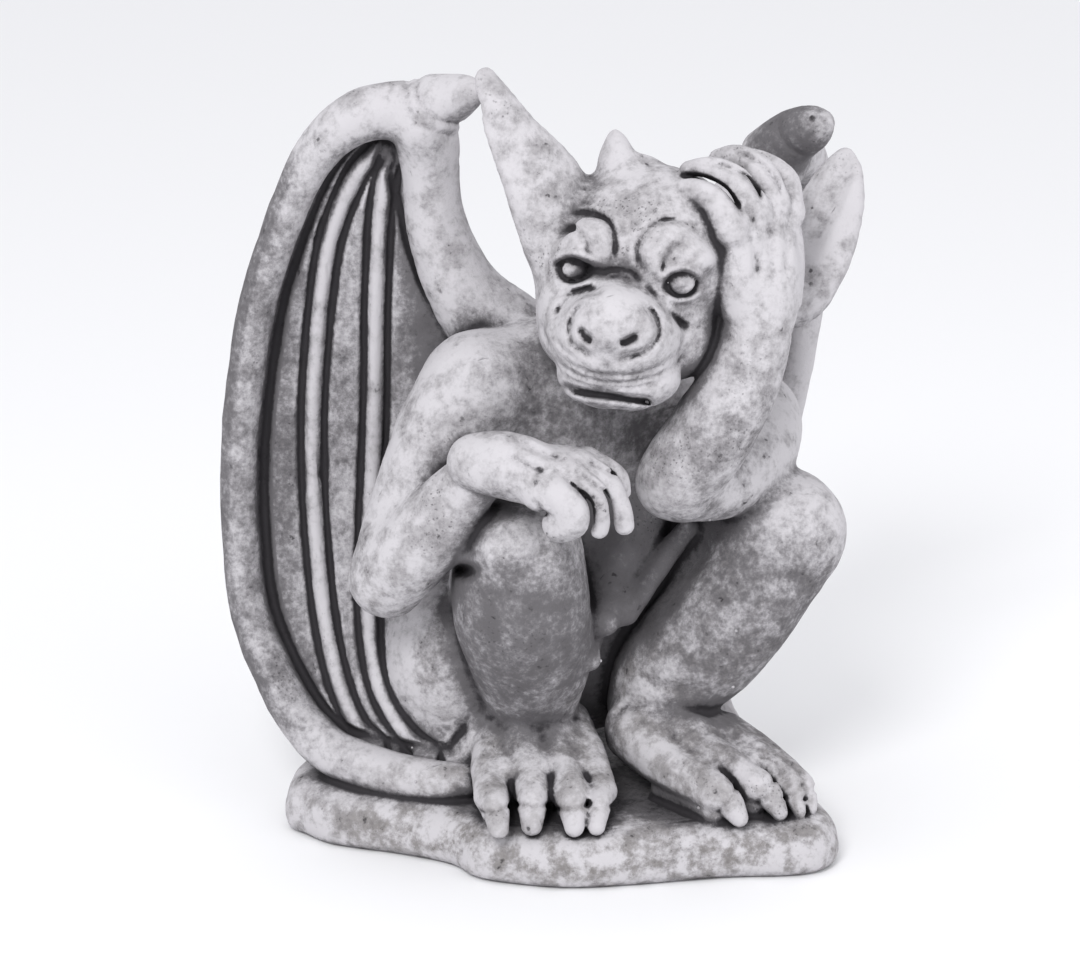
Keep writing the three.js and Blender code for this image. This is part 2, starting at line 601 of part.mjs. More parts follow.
const AXIS_ORDERS = [[0, 1, 2], [1, 2, 0], [2, 0, 1], [0, 2, 1], [2, 1, 0], [1, 0, 2]];
const EVEN_SINGLES = [[0, 1, 2, 3], [1, 0, 3, 2], [2, 0, 1, 3], [3, 0, 2, 1]];
const EVEN_PAIRS = {
  3: [0, 1, 2, 3],
  5: [0, 2, 3, 1],
  9: [0, 3, 1, 2],
  6: [1, 2, 0, 3],
  10: [1, 3, 2, 0],
  12: [2, 3, 0, 1],
};
const BLOCK = 8;
const BLOCK_MARGIN = 1.6;       // how far beyond a block's corner the surface is still looked for
const LEAST_SHARE = 0.02;       // keeps a vertex off the ends of its edge

function surfaceMesh(distance, box, step) {
  const low = box.min.toArray().map((v) => Math.floor(v / step) - 1);
  low[2] = -1;
  const counts = box.max.toArray().map((v, i) => (
    BLOCK * Math.ceil((Math.ceil(v / step) + 2 - low[i]) / BLOCK) + 1));
  const stride = [1, counts[0], counts[0] * counts[1]];
  const values = new Float32Array(counts[0] * counts[1] * counts[2]).fill(NaN);
  const shift = step / 3;       // keeps the sample planes off the underside
  const position = (index) => [
    (low[0] + (index % counts[0])) * step,
    (low[1] + (Math.floor(index / stride[1]) % counts[1])) * step,
    (low[2] + Math.floor(index / stride[2])) * step + shift,
  ];
  const sample = (index) => {
    if (Number.isNaN(values[index])) values[index] = distance(...position(index));
    return values[index];
  };
  const vertices = [];
  const triangles = [];
  const known = new Map();
  const vertexBetween = (a, b) => {
    const [from, to] = a < b ? [a, b] : [b, a];
    const apart = to - from;
    const along = [apart % stride[1], Math.floor(apart / stride[1]) % counts[1], Math.floor(apart / stride[2])];
    const key = from * 8 + along.reduce((code, part, axis) => code + (part ? 1 << axis : 0), 0);
    if (!known.has(key)) {
      const [da, db] = [values[from], values[to]];
      const t = Math.min(Math.max(da / (da - db), LEAST_SHARE), 1 - LEAST_SHARE);
      const [p, q] = [position(from), position(to)];
      known.set(key, vertices.length / 3);
      vertices.push(p[0] + t * (q[0] - p[0]), p[1] + t * (q[1] - p[1]), p[2] + t * (q[2] - p[2]));
    }
    return known.get(key);
  };
  const fill = (corner) => {
    const inside = corner.reduce((mask, index, i) => mask | (values[index] < 0 ? 1 << i : 0), 0);
    if (inside === 0 || inside === 15) return;
    const edge = (i, j) => vertexBetween(corner[i], corner[j]);
    if (EVEN_PAIRS[inside]) {
      const [i, j, k, l] = EVEN_PAIRS[inside];
      triangles.push(edge(i, k), edge(i, l), edge(j, l), edge(i, k), edge(j, l), edge(j, k));
      return;
    }
    const single = [1, 2, 4, 8].indexOf(inside);
    const [i, j, k, l] = EVEN_SINGLES[single >= 0 ? single : [14, 13, 11, 7].indexOf(inside)];
    if (single >= 0) triangles.push(edge(i, j), edge(i, k), edge(i, l));
    else triangles.push(edge(i, j), edge(i, l), edge(i, k));
  };
  const cell = (index) => {
    const far = index + 1 + stride[1] + stride[2];
    let [some, all] = [false, true];
    for (let k = 0; k < 8; k += 1) {
      const value = sample(index + (k & 1) + ((k >> 1) & 1) * stride[1] + (k >> 2) * stride[2]);
      some = some || value < 0;
      all = all && value < 0;
    }
    if (!some || all) return;
    AXIS_ORDERS.forEach(([p, q], order) => {
      const first = index + stride[p];
      const second = first + stride[q];
      fill(order < 3 ? [index, first, second, far] : [index, first, far, second]);
    });
  };
  const halfBlock = BLOCK * step / 2;
  for (let k = 0; k < counts[2] - 1; k += BLOCK) {
    for (let j = 0; j < counts[1] - 1; j += BLOCK) {
      for (let i = 0; i < counts[0] - 1; i += BLOCK) {
        const start = i + j * stride[1] + k * stride[2];
        const [x, y, z] = position(start).map((v) => v + halfBlock);
        if (Math.abs(distance(x, y, z)) > BLOCK_MARGIN * Math.sqrt(3) * halfBlock) continue;
        for (let c = 0; c < BLOCK ** 3; c += 1) {
          const row = Math.floor(c / BLOCK) % BLOCK;
          const layer = Math.floor(c / BLOCK ** 2);
          cell(start + (c % BLOCK) + row * stride[1] + layer * stride[2]);
        }
      }
    }
  }
  return { vertices, triangles };
}

// Merging facets: the edge whose loss changes the shape least is drawn together first, until the
// budget is met. The face, the hands and the feet are weighed more than the rest.

const fineSpots = [
  [inFrame(HEAD)([-8, -12, 30]), 60, 5], [place([-12, -52, 188]), 40, 2.5], [place([76, -44, 312]), 45, 2.5],
  [place([-22, -50, 34]), 48, 2.5], [place([74, -64, 34]), 52, 2.5],
];

function weightAt(x, y, z) {
  return fineSpots.reduce((weight, [spot, reach, gain]) => (
    Math.hypot(x - spot[0], y - spot[1], z - spot[2]) < across(reach) ? Math.max(weight, gain) : weight), 1);
}

// A heap of numbered edges, cheapest on top
class EdgeHeap {
  constructor(room) {
    this.prices = new Float64Array(room);
    this.edges = new Int32Array(room);
    this.size = 0;
  }

  push(price, edge) {
    const { prices, edges } = this;
    let at = this.size;
    this.size += 1;
    while (at > 0) {
      const up = (at - 1) >> 1;
      if (prices[up] <= price) break;
      prices[at] = prices[up];
      edges[at] = edges[up];
      at = up;
    }
    prices[at] = price;
    edges[at] = edge;
  }

  pop() {
    const { prices, edges } = this;
    const top = edges[0];
    this.size -= 1;
    const [price, edge] = [prices[this.size], edges[this.size]];
    let at = 0;
    for (;;) {
      let child = 2 * at + 1;
      if (child >= this.size) break;
      if (child + 1 < this.size && prices[child + 1] < prices[child]) child += 1;
      if (prices[child] >= price) break;
      prices[at] = prices[child];
      edges[at] = edges[child];
      at = child;
    }
    prices[at] = price;
    edges[at] = edge;
    return top;
  }
}

// The stone is solid: of all closed surfaces only the outermost, the largest, is kept.
function largestSurface({ vertices, triangles }) {
  const root = Int32Array.from({ length: vertices.length / 3 }, (_, i) => i);
  const find = (start) => {
    let v = start;
    while (root[v] !== v) {
      root[v] = root[root[v]];
      v = root[v];
    }
    return v;
  };
  for (let t = 0; t < triangles.length; t += 3) {
    root[find(triangles[t])] = find(triangles[t + 1]);
    root[find(triangles[t + 1])] = find(triangles[t + 2]);
  }
  const sizes = new Map();
  for (let t = 0; t < triangles.length; t += 3) {
    const body = find(triangles[t]);
    sizes.set(body, (sizes.get(body) ?? 0) + 1);
  }
  const [largest] = [...sizes].reduce((a, b) => (b[1] > a[1] ? b : a));
  return { vertices, triangles: triangles.filter((v) => find(v) === largest) };
}

const EDGES_PER_VERTEX = 24;
const UNDERSIDE_WEIGHT = 30;
const SLIVER_COST = 1e-3;
const LEAST_TURN = 0.3;         // cosine of the most that a facet may turn in one step
const UNDERSIDE = 0.4;          // points lower than this lie on the underside

function mergeFacets({ vertices, triangles }, budget) {
  const count = vertices.length / 3;
  const spot = Float64Array.from(vertices);
  const quadrics = new Float64Array(count * 10);
  const around = Array.from({ length: count }, () => []);
  const stamp = new Int32Array(count);
  const corners = Int32Array.from(triangles);
  const dead = new Uint8Array(corners.length / 3);
  const normal = new Float64Array(3);
  const setNormal = (ax, ay, az, b, c) => {
    const ux = spot[3 * b] - ax;
    const uy = spot[3 * b + 1] - ay;
    const uz = spot[3 * b + 2] - az;
    const vx = spot[3 * c] - ax;
    const vy = spot[3 * c + 1] - ay;
    const vz = spot[3 * c + 2] - az;
    normal[0] = uy * vz - uz * vy;
    normal[1] = uz * vx - ux * vz;
    normal[2] = ux * vy - uy * vx;
    return Math.sqrt(normal[0] ** 2 + normal[1] ** 2 + normal[2] ** 2);
  };
  for (let f = 0; f < dead.length; f += 1) {
    const [a, b, c] = [corners[3 * f], corners[3 * f + 1], corners[3 * f + 2]];
    around[a].push(f);
    around[b].push(f);
    around[c].push(f);
    const size = setNormal(spot[3 * a], spot[3 * a + 1], spot[3 * a + 2], b, c);
    if (size < 1e-9) continue;
    const plane = [normal[0] / size, normal[1] / size, normal[2] / size];
    plane.push(-(plane[0] * spot[3 * a] + plane[1] * spot[3 * a + 1] + plane[2] * spot[3 * a + 2]));
    const flat = Math.max(spot[3 * a + 2], spot[3 * b + 2], spot[3 * c + 2]) < UNDERSIDE / 2;
    const weight = size * weightAt(spot[3 * a], spot[3 * a + 1], spot[3 * a + 2]) * (flat ? UNDERSIDE_WEIGHT : 1);
    for (let i = 0, k = 0; i < 4; i += 1) {
      for (let j = i; j < 4; j += 1, k += 1) {
        const value = weight * plane[i] * plane[j];
        quadrics[10 * a + k] += value;
        quadrics[10 * b + k] += value;
        quadrics[10 * c + k] += value;
      }
    }
  }

  const q = new Float64Array(10);
  const best = new Float64Array(3);
  const costAt = (x, y, z) => Math.abs(x * (q[0] * x + 2 * (q[1] * y + q[2] * z + q[3]))
    + y * (q[4] * y + 2 * (q[5] * z + q[6])) + z * (q[7] * z + 2 * q[8]) + q[9]);
  // Finds the best meeting point of two vertices and returns its cost.
  const meet = (a, b) => {
    for (let k = 0; k < 10; k += 1) q[k] = quadrics[10 * a + k] + quadrics[10 * b + k];
    const [ax, ay, az] = [spot[3 * a], spot[3 * a + 1], spot[3 * a + 2]];
    const [bx, by, bz] = [spot[3 * b], spot[3 * b + 1], spot[3 * b + 2]];
    let least = Infinity;
    const consider = (x, y, z) => {
      const cost = costAt(x, y, z);
      if (cost < least) {
        least = cost;
        best[0] = x;
        best[1] = y;
        best[2] = z;
      }
    };
    consider(ax, ay, az);
    consider(bx, by, bz);
    consider((ax + bx) / 2, (ay + by) / 2, (az + bz) / 2);
    const length = (ax - bx) ** 2 + (ay - by) ** 2 + (az - bz) ** 2;
    const c0 = q[4] * q[7] - q[5] * q[5];
    const c1 = q[2] * q[5] - q[1] * q[7];
    const c2 = q[1] * q[5] - q[2] * q[4];
    const det = q[0] * c0 + q[1] * c1 + q[2] * c2;
    if (Math.abs(det) > 1e-4 * (q[0] + q[4] + q[7]) ** 3) {
      const x = -(q[3] * c0 + q[6] * c1 + q[8] * c2) / det;
      const y = -(q[3] * c1 + q[6] * (q[0] * q[7] - q[2] * q[2]) + q[8] * (q[1] * q[2] - q[0] * q[5])) / det;
      const z = -(q[3] * c2 + q[6] * (q[1] * q[2] - q[0] * q[5]) + q[8] * (q[0] * q[4] - q[1] * q[1])) / det;
      const away = (x - ax) ** 2 + (y - ay) ** 2 + (z - az) ** 2;
      if (away < 4 * length) consider(x, y, z);
    }
    return least + SLIVER_COST * length;
  };

  const room = EDGES_PER_VERTEX * count;
  const heap = new EdgeHeap(room);
  const ends = new Int32Array(4 * room);
  let offered = 0;
  const offer = (a, b) => {
    if (offered >= room) return;
    ends.set([a, b, stamp[a], stamp[b]], 4 * offered);
    heap.push(meet(a, b), offered);
    offered += 1;
  };
  const neighbours = (v) => {
    const found = [];
    for (const f of around[v]) {
      if (dead[f]) continue;
      for (let k = 3 * f; k < 3 * f + 3; k += 1) {
        if (corners[k] !== v && !found.includes(corners[k])) found.push(corners[k]);
      }
    }
    return found;
  };
  const keepsShape = (v, other) => {
    for (const f of around[v]) {
      if (dead[f]) continue;
      let k = 3 * f;
      if (corners[k] === other || corners[k + 1] === other || corners[k + 2] === other) continue;
      const [b, c] = corners[k] === v ? [corners[k + 1], corners[k + 2]]
        : corners[k + 1] === v ? [corners[k + 2], corners[k]] : [corners[k], corners[k + 1]];
      const before = setNormal(spot[3 * v], spot[3 * v + 1], spot[3 * v + 2], b, c);
      const [nx, ny, nz] = normal;
      const after = setNormal(best[0], best[1], best[2], b, c);
      k = nx * normal[0] + ny * normal[1] + nz * normal[2];
      if (k < LEAST_TURN * before * after || after < 1e-3) return false;
    }
    return true;
  };
  for (let k = 0; k < corners.length; k += 1) {
    const [v, w] = [corners[k], corners[k % 3 === 2 ? k - 2 : k + 1]];
    if (v < w) offer(v, w);
  }
  let alive = dead.length;
  while (alive > budget && heap.size > 0) {
    const edge = 4 * heap.pop();
    const [a, b] = [ends[edge], ends[edge + 1]];
    if (stamp[a] !== ends[edge + 2] || stamp[b] !== ends[edge + 3]) continue;
    const nearA = neighbours(a);
    const shared = neighbours(b).filter((v) => nearA.includes(v)).length;
    if (shared !== 2) continue;
    meet(a, b);
    if (!keepsShape(a, b) || !keepsShape(b, a)) continue;
    for (const f of around[b]) {
      if (dead[f]) continue;
      const k = 3 * f;
      if (corners[k] === a || corners[k + 1] === a || corners[k + 2] === a) {
        dead[f] = 1;
        alive -= 1;
      } else {
        corners[corners.indexOf(b, k)] = a;
        around[a].push(f);
      }
    }
    around[b] = [];
    around[a] = around[a].filter((f) => !dead[f]);
    spot.set(best, 3 * a);
    for (let k = 0; k < 10; k += 1) quadrics[10 * a + k] += quadrics[10 * b + k];
    stamp[a] += 1;
    stamp[b] = -1;
    for (const v of neighbours(a)) offer(Math.min(a, v), Math.max(a, v));
  }

  const order = new Map();
  const positions = [];
  const index = [];
  for (let k = 0; k < corners.length; k += 1) {
    if (dead[Math.floor(k / 3)]) continue;
    const v = corners[k];
    if (!order.has(v)) {
      order.set(v, order.size);
      positions.push(spot[3 * v], spot[3 * v + 1], spot[3 * v + 2] < UNDERSIDE ? 0 : spot[3 * v + 2]);
    }
    index.push(order.get(v));
  }
  return { positions, index };
}

const whole = joins.reduce((box, [form]) => box.union(form.box), new THREE.Box3());
const fine = largestSurface(surfaceMesh(figureDistance, whole, across(MESH_STEP)));
const { positions, index } = mergeFacets(fine, FACET_BUDGET);
const geometry = new THREE.BufferGeometry();
geometry.setAttribute('position', new THREE.Float32BufferAttribute(positions, 3));
geometry.setIndex(index);
geometry.computeVertexNormals();

const stone = new THREE.MeshStandardMaterial({ color: 0xcfccd0, roughness: 0.85, metalness: 0 });
const figure = new THREE.Mesh(geometry, stone);
figure.name = 'gargoyle';

const model = new THREE.Group();
model.name = 'stone_gargoyle';
model.add(figure);

export default model;
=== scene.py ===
"""Looks of a crouching winged gargoyle in antiqued cast stone, cast in one with its low slab.

The figure is sculpted as rounded forms that flow into each other, with the carved lines pressed in.
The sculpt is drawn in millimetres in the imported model's frame, +Z up, facing -Y, feet 26 mm up on the
slab, and is meshed finely here, so that it replaces the plain solid. Blender's own units are metres.
"""
import math
import bpy
import numpy as np
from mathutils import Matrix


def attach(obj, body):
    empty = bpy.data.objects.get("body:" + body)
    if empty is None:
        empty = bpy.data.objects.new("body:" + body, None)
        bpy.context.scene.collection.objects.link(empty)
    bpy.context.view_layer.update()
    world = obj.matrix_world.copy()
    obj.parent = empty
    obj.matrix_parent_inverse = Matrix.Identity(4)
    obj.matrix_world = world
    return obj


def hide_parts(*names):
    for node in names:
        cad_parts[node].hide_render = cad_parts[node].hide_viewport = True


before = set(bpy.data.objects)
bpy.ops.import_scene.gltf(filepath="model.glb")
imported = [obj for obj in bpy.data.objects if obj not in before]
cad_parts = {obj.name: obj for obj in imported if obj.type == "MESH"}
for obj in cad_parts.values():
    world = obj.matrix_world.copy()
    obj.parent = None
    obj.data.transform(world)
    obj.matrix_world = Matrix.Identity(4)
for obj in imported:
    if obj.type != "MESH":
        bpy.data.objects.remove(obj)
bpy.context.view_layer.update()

import openvdb
from mathutils import Vector, noise as stone_noise
from mathutils.bvhtree import BVHTree

# Driving dimensions, in millimetres
SLAB_THICKNESS = 26.0
SLAB_EDGE_RADIUS = 8.0
WING_SKIN = 13.0
VOXEL = 1.1
STONE_TRIANGLES = 193_000
MM = 0.001

# The sculpting kernel

BLOCK = 8                       # voxels along a coarse block
FINE_BLOCK = 4                  # voxels along a fine block
FAR = 60.0                      # stands for a distance that need not be known
BLOCKS_AT_ONCE = 60_000
SAMPLED_AT_ONCE = 20_000
PLANE_SHIFT = 0.4               # voxels, keeps the sample planes off the underside


def blend(a, b, width):
    """Smooth union of two distances."""
    overlap = np.maximum(width - np.abs(a - b), 0) / width
    return np.minimum(a, b) - overlap * overlap * width / 4


def cross(a, b, width):
    """Smooth intersection of two distances."""
    return -blend(-a, -b, width)


def smoothed(points, pieces=4, closed=False):
    """A Catmull-Rom curve through points of any dimension."""
    p = np.array(points, float)
    if closed:
        p = np.vstack([p[-1:], p, p[:2]])
    else:
        p = np.vstack([p[:1], p, p[-1:]])
    rows = []
    for a, b, c, d in zip(p, p[1:], p[2:], p[3:]):
        for t in np.arange(pieces) / pieces:
            rows.append(b + 0.5 * t * (c - a + t * (2 * a - 5 * b + 4 * c - d + t * (3 * (b - c) + d - a))))
    if not closed:
        rows.append(p[-2])
    return np.array(rows)


class Form:
    """A distance to a surface, negative inside, and the box that holds the surface."""

    def __init__(self, low, high, distance):
        self.low = np.asarray(low, float)
        self.high = np.asarray(high, float)
        self.distance = distance


def around(points, reach):
    points = np.asarray(points, float)
    return points.min(axis=0) - reach, points.max(axis=0) + reach


def tube(stations, direction=None, squeeze=1.0):
    """A rounded tube through rows of x, y, z, radius, squeezed along a direction if one is given."""
    stations = np.asarray(stations, float)
    low, high = around(stations[:, :3], stations[:, 3].max())
    stretch = np.eye(3)
    if direction is not None:
        d = np.array(direction, float)
        d /= np.linalg.norm(d)
        stretch = np.eye(3) + (squeeze - 1) * np.outer(d, d)
    path = stations[:, :3] @ stretch
    radii = stations[:, 3]

    def distance(p):
        q = (p @ stretch.astype(np.float32)).astype(np.float32)
        best = np.full(q.shape[:-1], 1e6, np.float32)
        for a, b, ra, rb in zip(path, path[1:], radii, radii[1:]):
            v = (b - a).astype(np.float32)
            e = q - a.astype(np.float32)
            t = np.clip((e @ v) / float(v @ v), 0, 1)
            e -= t[..., None] * v
            np.minimum(best, np.sqrt(np.einsum("...i,...i", e, e)) - (ra + t * (rb - ra)), out=best)
        return best / squeeze

    return Form(low, high, distance)


def limb(points, pieces=4):
    return tube(smoothed(points, pieces))


def flat_limb(points, direction, squeeze):
    return tube(smoothed(points), direction, squeeze)


class Axes:
    """A local frame: an origin and three axes, right, up and front."""

    def __init__(self, origin, turn, tilt=0.0):
        a, e = math.radians(turn), math.radians(tilt)
        self.origin = np.array(origin, float)
        right = [math.cos(a), math.sin(a), 0]
        up = [-math.sin(a) * math.sin(e), math.cos(a) * math.sin(e), math.cos(e)]
        front = [math.sin(a) * math.cos(e), -math.cos(a) * math.cos(e), math.sin(e)]
        self.rows = np.array([right, up, front])

    def local(self, p):
        return (p - self.origin.astype(np.float32)) @ self.rows.T.astype(np.float32)

    def world(self, point):
        return self.origin + np.array(point[:3], float) @ self.rows

    def limb(self, points):
        return limb([[*self.world(p), p[3]] for p in points])

    def ball(self, center, radii):
        return ball(self.world(center), radii, self.rows)


def ball(center, radii, axes=None):
    c = np.array(center, np.float32)
    r = np.array(radii, np.float32)
    rows = np.eye(3, dtype=np.float32) if axes is None else np.asarray(axes, np.float32)

    def distance(p):
        q = (p - c) @ rows.T / r
        k = np.sqrt(np.einsum("...i,...i", q, q))
        q /= r
        steep = np.sqrt(np.einsum("...i,...i", q, q)) + 1e-6
        return k * (k - 1) / steep

    return Form(*around([center], max(radii)), distance)


def line_distance(points, x, y):
    """Distance to an open line in a plane, and how far along it the nearest point lies, 0 to 1."""
    best = np.full(x.shape, 1e9, np.float32)
    along = np.zeros(x.shape, np.float32)
    count = len(points) - 1
    for i, (a, b) in enumerate(zip(points, points[1:])):
        bx, by = b - a
        t = np.clip(((x - a[0]) * bx + (y - a[1]) * by) / (bx * bx + by * by), 0, 1)
        gap = (x - a[0] - t * bx) ** 2 + (y - a[1] - t * by) ** 2
        nearer = gap < best
        best = np.where(nearer, gap, best)
        along = np.where(nearer, (i + t) / count, along)
    return np.sqrt(best), along


def outline_distance(points, x, y):
    """Signed distance to a closed outline in a plane, negative inside."""
    best = np.full(x.shape, 1e9, np.float32)
    inside = np.zeros(x.shape, bool)
    for a, b in zip(points, np.roll(points, 1, axis=0)):
        bx, by = b - a
        t = np.clip(((x - a[0]) * bx + (y - a[1]) * by) / (bx * bx + by * by), 0, 1)
        best = np.minimum(best, (x - a[0] - t * bx) ** 2 + (y - a[1] - t * by) ** 2)
        if by:
            inside ^= ((a[1] > y) != (b[1] > y)) & (x < a[0] + (y - a[1]) * bx / by)
    return np.where(inside, -1, 1) * np.sqrt(best)


class Line:
    """A carved stroke of points [right, up] in a local frame: pressed in, or raised if depth is negative."""

    def __init__(self, axes, points, width, depth, fade=5.0, behind=-22.0):
        self.axes = axes
        self.stroke = smoothed(points, 4)
        self.width = width
        self.depth = depth
        self.fade = fade
        self.behind = behind
        self.low = self.stroke.min(axis=0) - width
        self.high = self.stroke.max(axis=0) + width

    def change(self, p, result):
        q = self.axes.local(p)
        hit = ((q[..., 0] > self.low[0]) & (q[..., 0] < self.high[0]) & (q[..., 1] > self.low[1])
               & (q[..., 1] < self.high[1]) & (q[..., 2] > self.behind))
        if hit.any():
            gap, along = line_distance(self.stroke, q[..., 0][hit], q[..., 1][hit])
            taper = np.clip(self.fade * np.minimum(along, 1 - along) + 0.1, 0, 1)
            inside = np.clip(1 - (gap / self.width) ** 2, 0, 1)
            result[hit] += self.depth * taper * inside ** 2


class Dent:
    """An oval hollow in a local frame, pressed in by a depth."""

    def __init__(self, axes, center, radii, depth, behind=-22.0):
        self.axes = axes
        self.center = center
        self.radii = radii
        self.depth = depth
        self.behind = behind

    def change(self, p, result):
        q = self.axes.local(p)
        away = (((q[..., 0] - self.center[0]) / self.radii[0]) ** 2
                + ((q[..., 1] - self.center[1]) / self.radii[1]) ** 2)
        hit = (away < 1) & (q[..., 2] > self.behind)
        result[hit] += self.depth * (1 - away[hit]) ** 2


class Group:
    """Forms joined by one blend width, with carved lines pressed into the result."""

    def __init__(self, width, forms, lines=()):
        self.width = width
        self.forms = forms
        self.lines = lines
        self.low = np.min([f.low for f in forms], axis=0)
        self.high = np.max([f.high for f in forms], axis=0)

    def evaluate(self, points, centers, half, reach):
        result = np.full(points.shape[:2], FAR, np.float32)
        for form in self.forms:
            margin = half + reach + self.width
            near = np.all((centers > form.low - margin) & (centers < form.high + margin), axis=1)
            if near.any():
                result[near] = blend(result[near], form.distance(points[near]), self.width)
        for line in self.lines:
            line.change(points, result)
        return result


def figure_distance(points, half, reach):
    """Distance of blocks of points, shape (blocks, points, 3), to the whole figure."""
    centers = points.mean(axis=1)
    result = np.full(points.shape[:2], FAR, np.float32)
    for group, join in JOINS:
        margin = half + reach + group.width + join
        near = np.all((centers > group.low - margin) & (centers < group.high + margin), axis=1)
        if near.any():
            mine = group.evaluate(points[near], centers[near], half, reach)
            result[near] = blend(result[near], mine, join)
    return np.maximum(result, -points[..., 2])


# Frames that face the viewer, one at each carved part, so that its lines can be drawn as seen

TURN = -20.0
TILT = 18.0
VIEWER = [-590.5, -1590.7, 728.2]


def facing(origin):
    """A frame at a point of the figure whose front looks at the viewer."""
    x, y, z = np.subtract(VIEWER, origin)
    return Axes(origin, math.degrees(math.atan2(x, -y)), math.degrees(math.atan2(z, math.hypot(x, y))))


HEAD = facing([26.5, -30, 285])
CHEST = facing([-4, -14, 214])
HAND_R = facing([-26, -60, 196])
FOOT_R = facing([-24, -40, 36])
FOOT_L = facing([70, -55, 38])
SHIN_L = facing([80, -50, 110])

# Torso

CHEST_FOLD = [[-29, -6], [-28, 4], [-24.5, 6.5], [-17.5, 1.5], [-9, 1.5]]

torso = Group(14, [
    ball([24, 48, 82], [66, 42, 52]),
    ball([30, 30, 128], [50, 36, 52]),
    ball([34, 28, 188], [62, 34, 44]),
    ball([4, 12, 203], [42, 27, 33]),
    ball([36, 44, 168], [54, 30, 70]),
    limb([[-38, 12, 222, 25], [0, 14, 228, 26], [38, 18, 226, 28], [72, 16, 212, 27], [100, 14, 190, 24]]),
    limb([[40, 26, 222, 32], [36, 8, 246, 31], [30, -10, 268, 30]]),
], [Line(CHEST, CHEST_FOLD, 3.5, 2.0, behind=-30)])
belly = Group(8, [
    limb([[60, -11, 150, 5], [48, -11, 136, 5.5], [35, -14, 121, 5.5], [27, -17, 112, 5]]),
    limb([[44, 2, 158, 9], [30, -2, 140, 10], [22, -5, 128, 9]]),
    limb([[13, -21, 112, 8], [20, -6, 118, 12]]),
    limb([[4, -28, 95, 4.5], [8, -14, 98, 6], [14, 2, 104, 10]]),
])

# Arms and hands

right_arm = Group(6, [
    limb([[-38, 10, 223, 28], [-55, 10, 201, 24.5], [-71, 8, 177, 19], [-83, 4, 154, 17],
          [-88, 1, 137, 16.5]], 6),
    limb([[-87, 0, 137, 16.5], [-82, -8, 149, 19], [-71, -18, 167, 18.5], [-60, -29, 187, 14.5],
          [-52, -37, 200, 13]], 6),
])

RIGHT_FINGERS = [       # right, up, front and radius in the hand's frame
    [[-6, -2, 9, 10], [5, -7, 15, 9.4], [7.5, -14.5, 13, 9.2], [2.5, -18, 8, 8.6]],
    [[5, 4, 6, 8.2], [17, -3.5, 10, 6.2], [20.5, -11.5, 9, 5.3], [20, -20, 5, 4.8]],
    [[11.5, 8, 0, 7.4], [23.5, 1.5, 3, 5.6], [29, -8.5, 2, 4.8], [31.5, -18.5, -1, 4.6]],
    [[15, 10.5, -7, 6.6], [23.5, 7.5, -5, 5], [29.5, 3, -6, 4.2], [31, -3, -9, 3.8]],
]
RIGHT_HAND_LINES = [    # stroke, width and depth
    ([[3, 3.5], [9.8, -2.5], [15.5, -7.4], [17.2, -14.7], [16.2, -22.3]], 2.4, 2.6),
    ([[9, 6.6], [15.9, 1.3], [22, -3.7], [25, -9.3], [25.3, -17]], 2.2, 2.2),
    ([[14.4, 10.9], [20.4, 7.8], [28, 3.3]], 2.0, 1.8),
    ([[-19, 21.8], [-11.5, 17.3], [-4, 13.5], [3.7, 10.7]], 2.6, 2.0),
    ([[-22, 14.2], [-16, 10.4], [-10, 7.4], [-3.6, 5.1]], 3.0, 2.2),
    ([[-11, -6], [-7, -10], [-4, -14]], 1.8, 1.0),
    ([[-7.5, -4], [-3.5, -8], [-1, -12]], 1.6, 0.8),
]
right_hand = Group(
    2,
    [HAND_R.limb([[-36, 10, -4, 13.5], [-24, 9, 0, 15.5], [-12, 6, 2, 15], [-2, 1, 2, 13]])]
    + [HAND_R.limb([[-14, 7, -1, 12], stations[0]]) for stations in RIGHT_FINGERS]
    + [HAND_R.limb(stations) for stations in RIGHT_FINGERS],
    [Line(HAND_R, points, width, depth) for points, width, depth in RIGHT_HAND_LINES],
)

left_arm = Group(6, [
    limb([[101, 12, 192, 25], [92, -8, 186, 23.5], [70, -28, 182, 22], [46, -42, 183, 18]], 6),
    HEAD.limb([[15, -100, -17, 16], [20, -94, -12, 19.5], [34, -74, -3, 20], [45, -54, 2, 18.5],
               [52, -35, 4, 17], [55, -17, 4, 16.5]]),
])

LEFT_FINGERS = [        # right, up, front and radius in the head's frame
    [[41.5, 19, 22, 9.4], [35, 31, 22, 8.4], [26, 36, 19, 7.2], [18, 38, 14, 5.2]],
    [[51, 27, 14, 8.6], [43, 40, 16, 7.4], [31.5, 45.5, 12, 6.5], [22.5, 45, 8, 5]],
    [[61, 30, 4, 7.8], [55, 45, 4, 7], [45, 51.5, -1, 6.2], [36, 51, -6, 4.8]],
    [[69, 27, -4, 7], [67, 40.5, -6, 6.2], [60, 48, -11, 5.6], [52, 52, -16, 4.4]],
]
LEFT_HAND_LINES = [
    ([[14, 41.5], [25, 42.6], [35, 39], [42, 32], [47, 23]], 2.4, 2.6),
    ([[28, 50], [40, 46.5], [48, 42], [53, 35.5], [56.5, 28]], 2.4, 2.4),
    ([[42, 55.5], [54, 49], [61, 42], [65.5, 33]], 2.2, 2.2),
    ([[49, 20], [52, 8], [53, -4]], 3.0, 1.5),
    ([[58, 22], [60, 8], [60, -6]], 3.0, 1.5),
    ([[66, 22], [67.5, 10], [66, -4]], 2.6, 1.2),
]
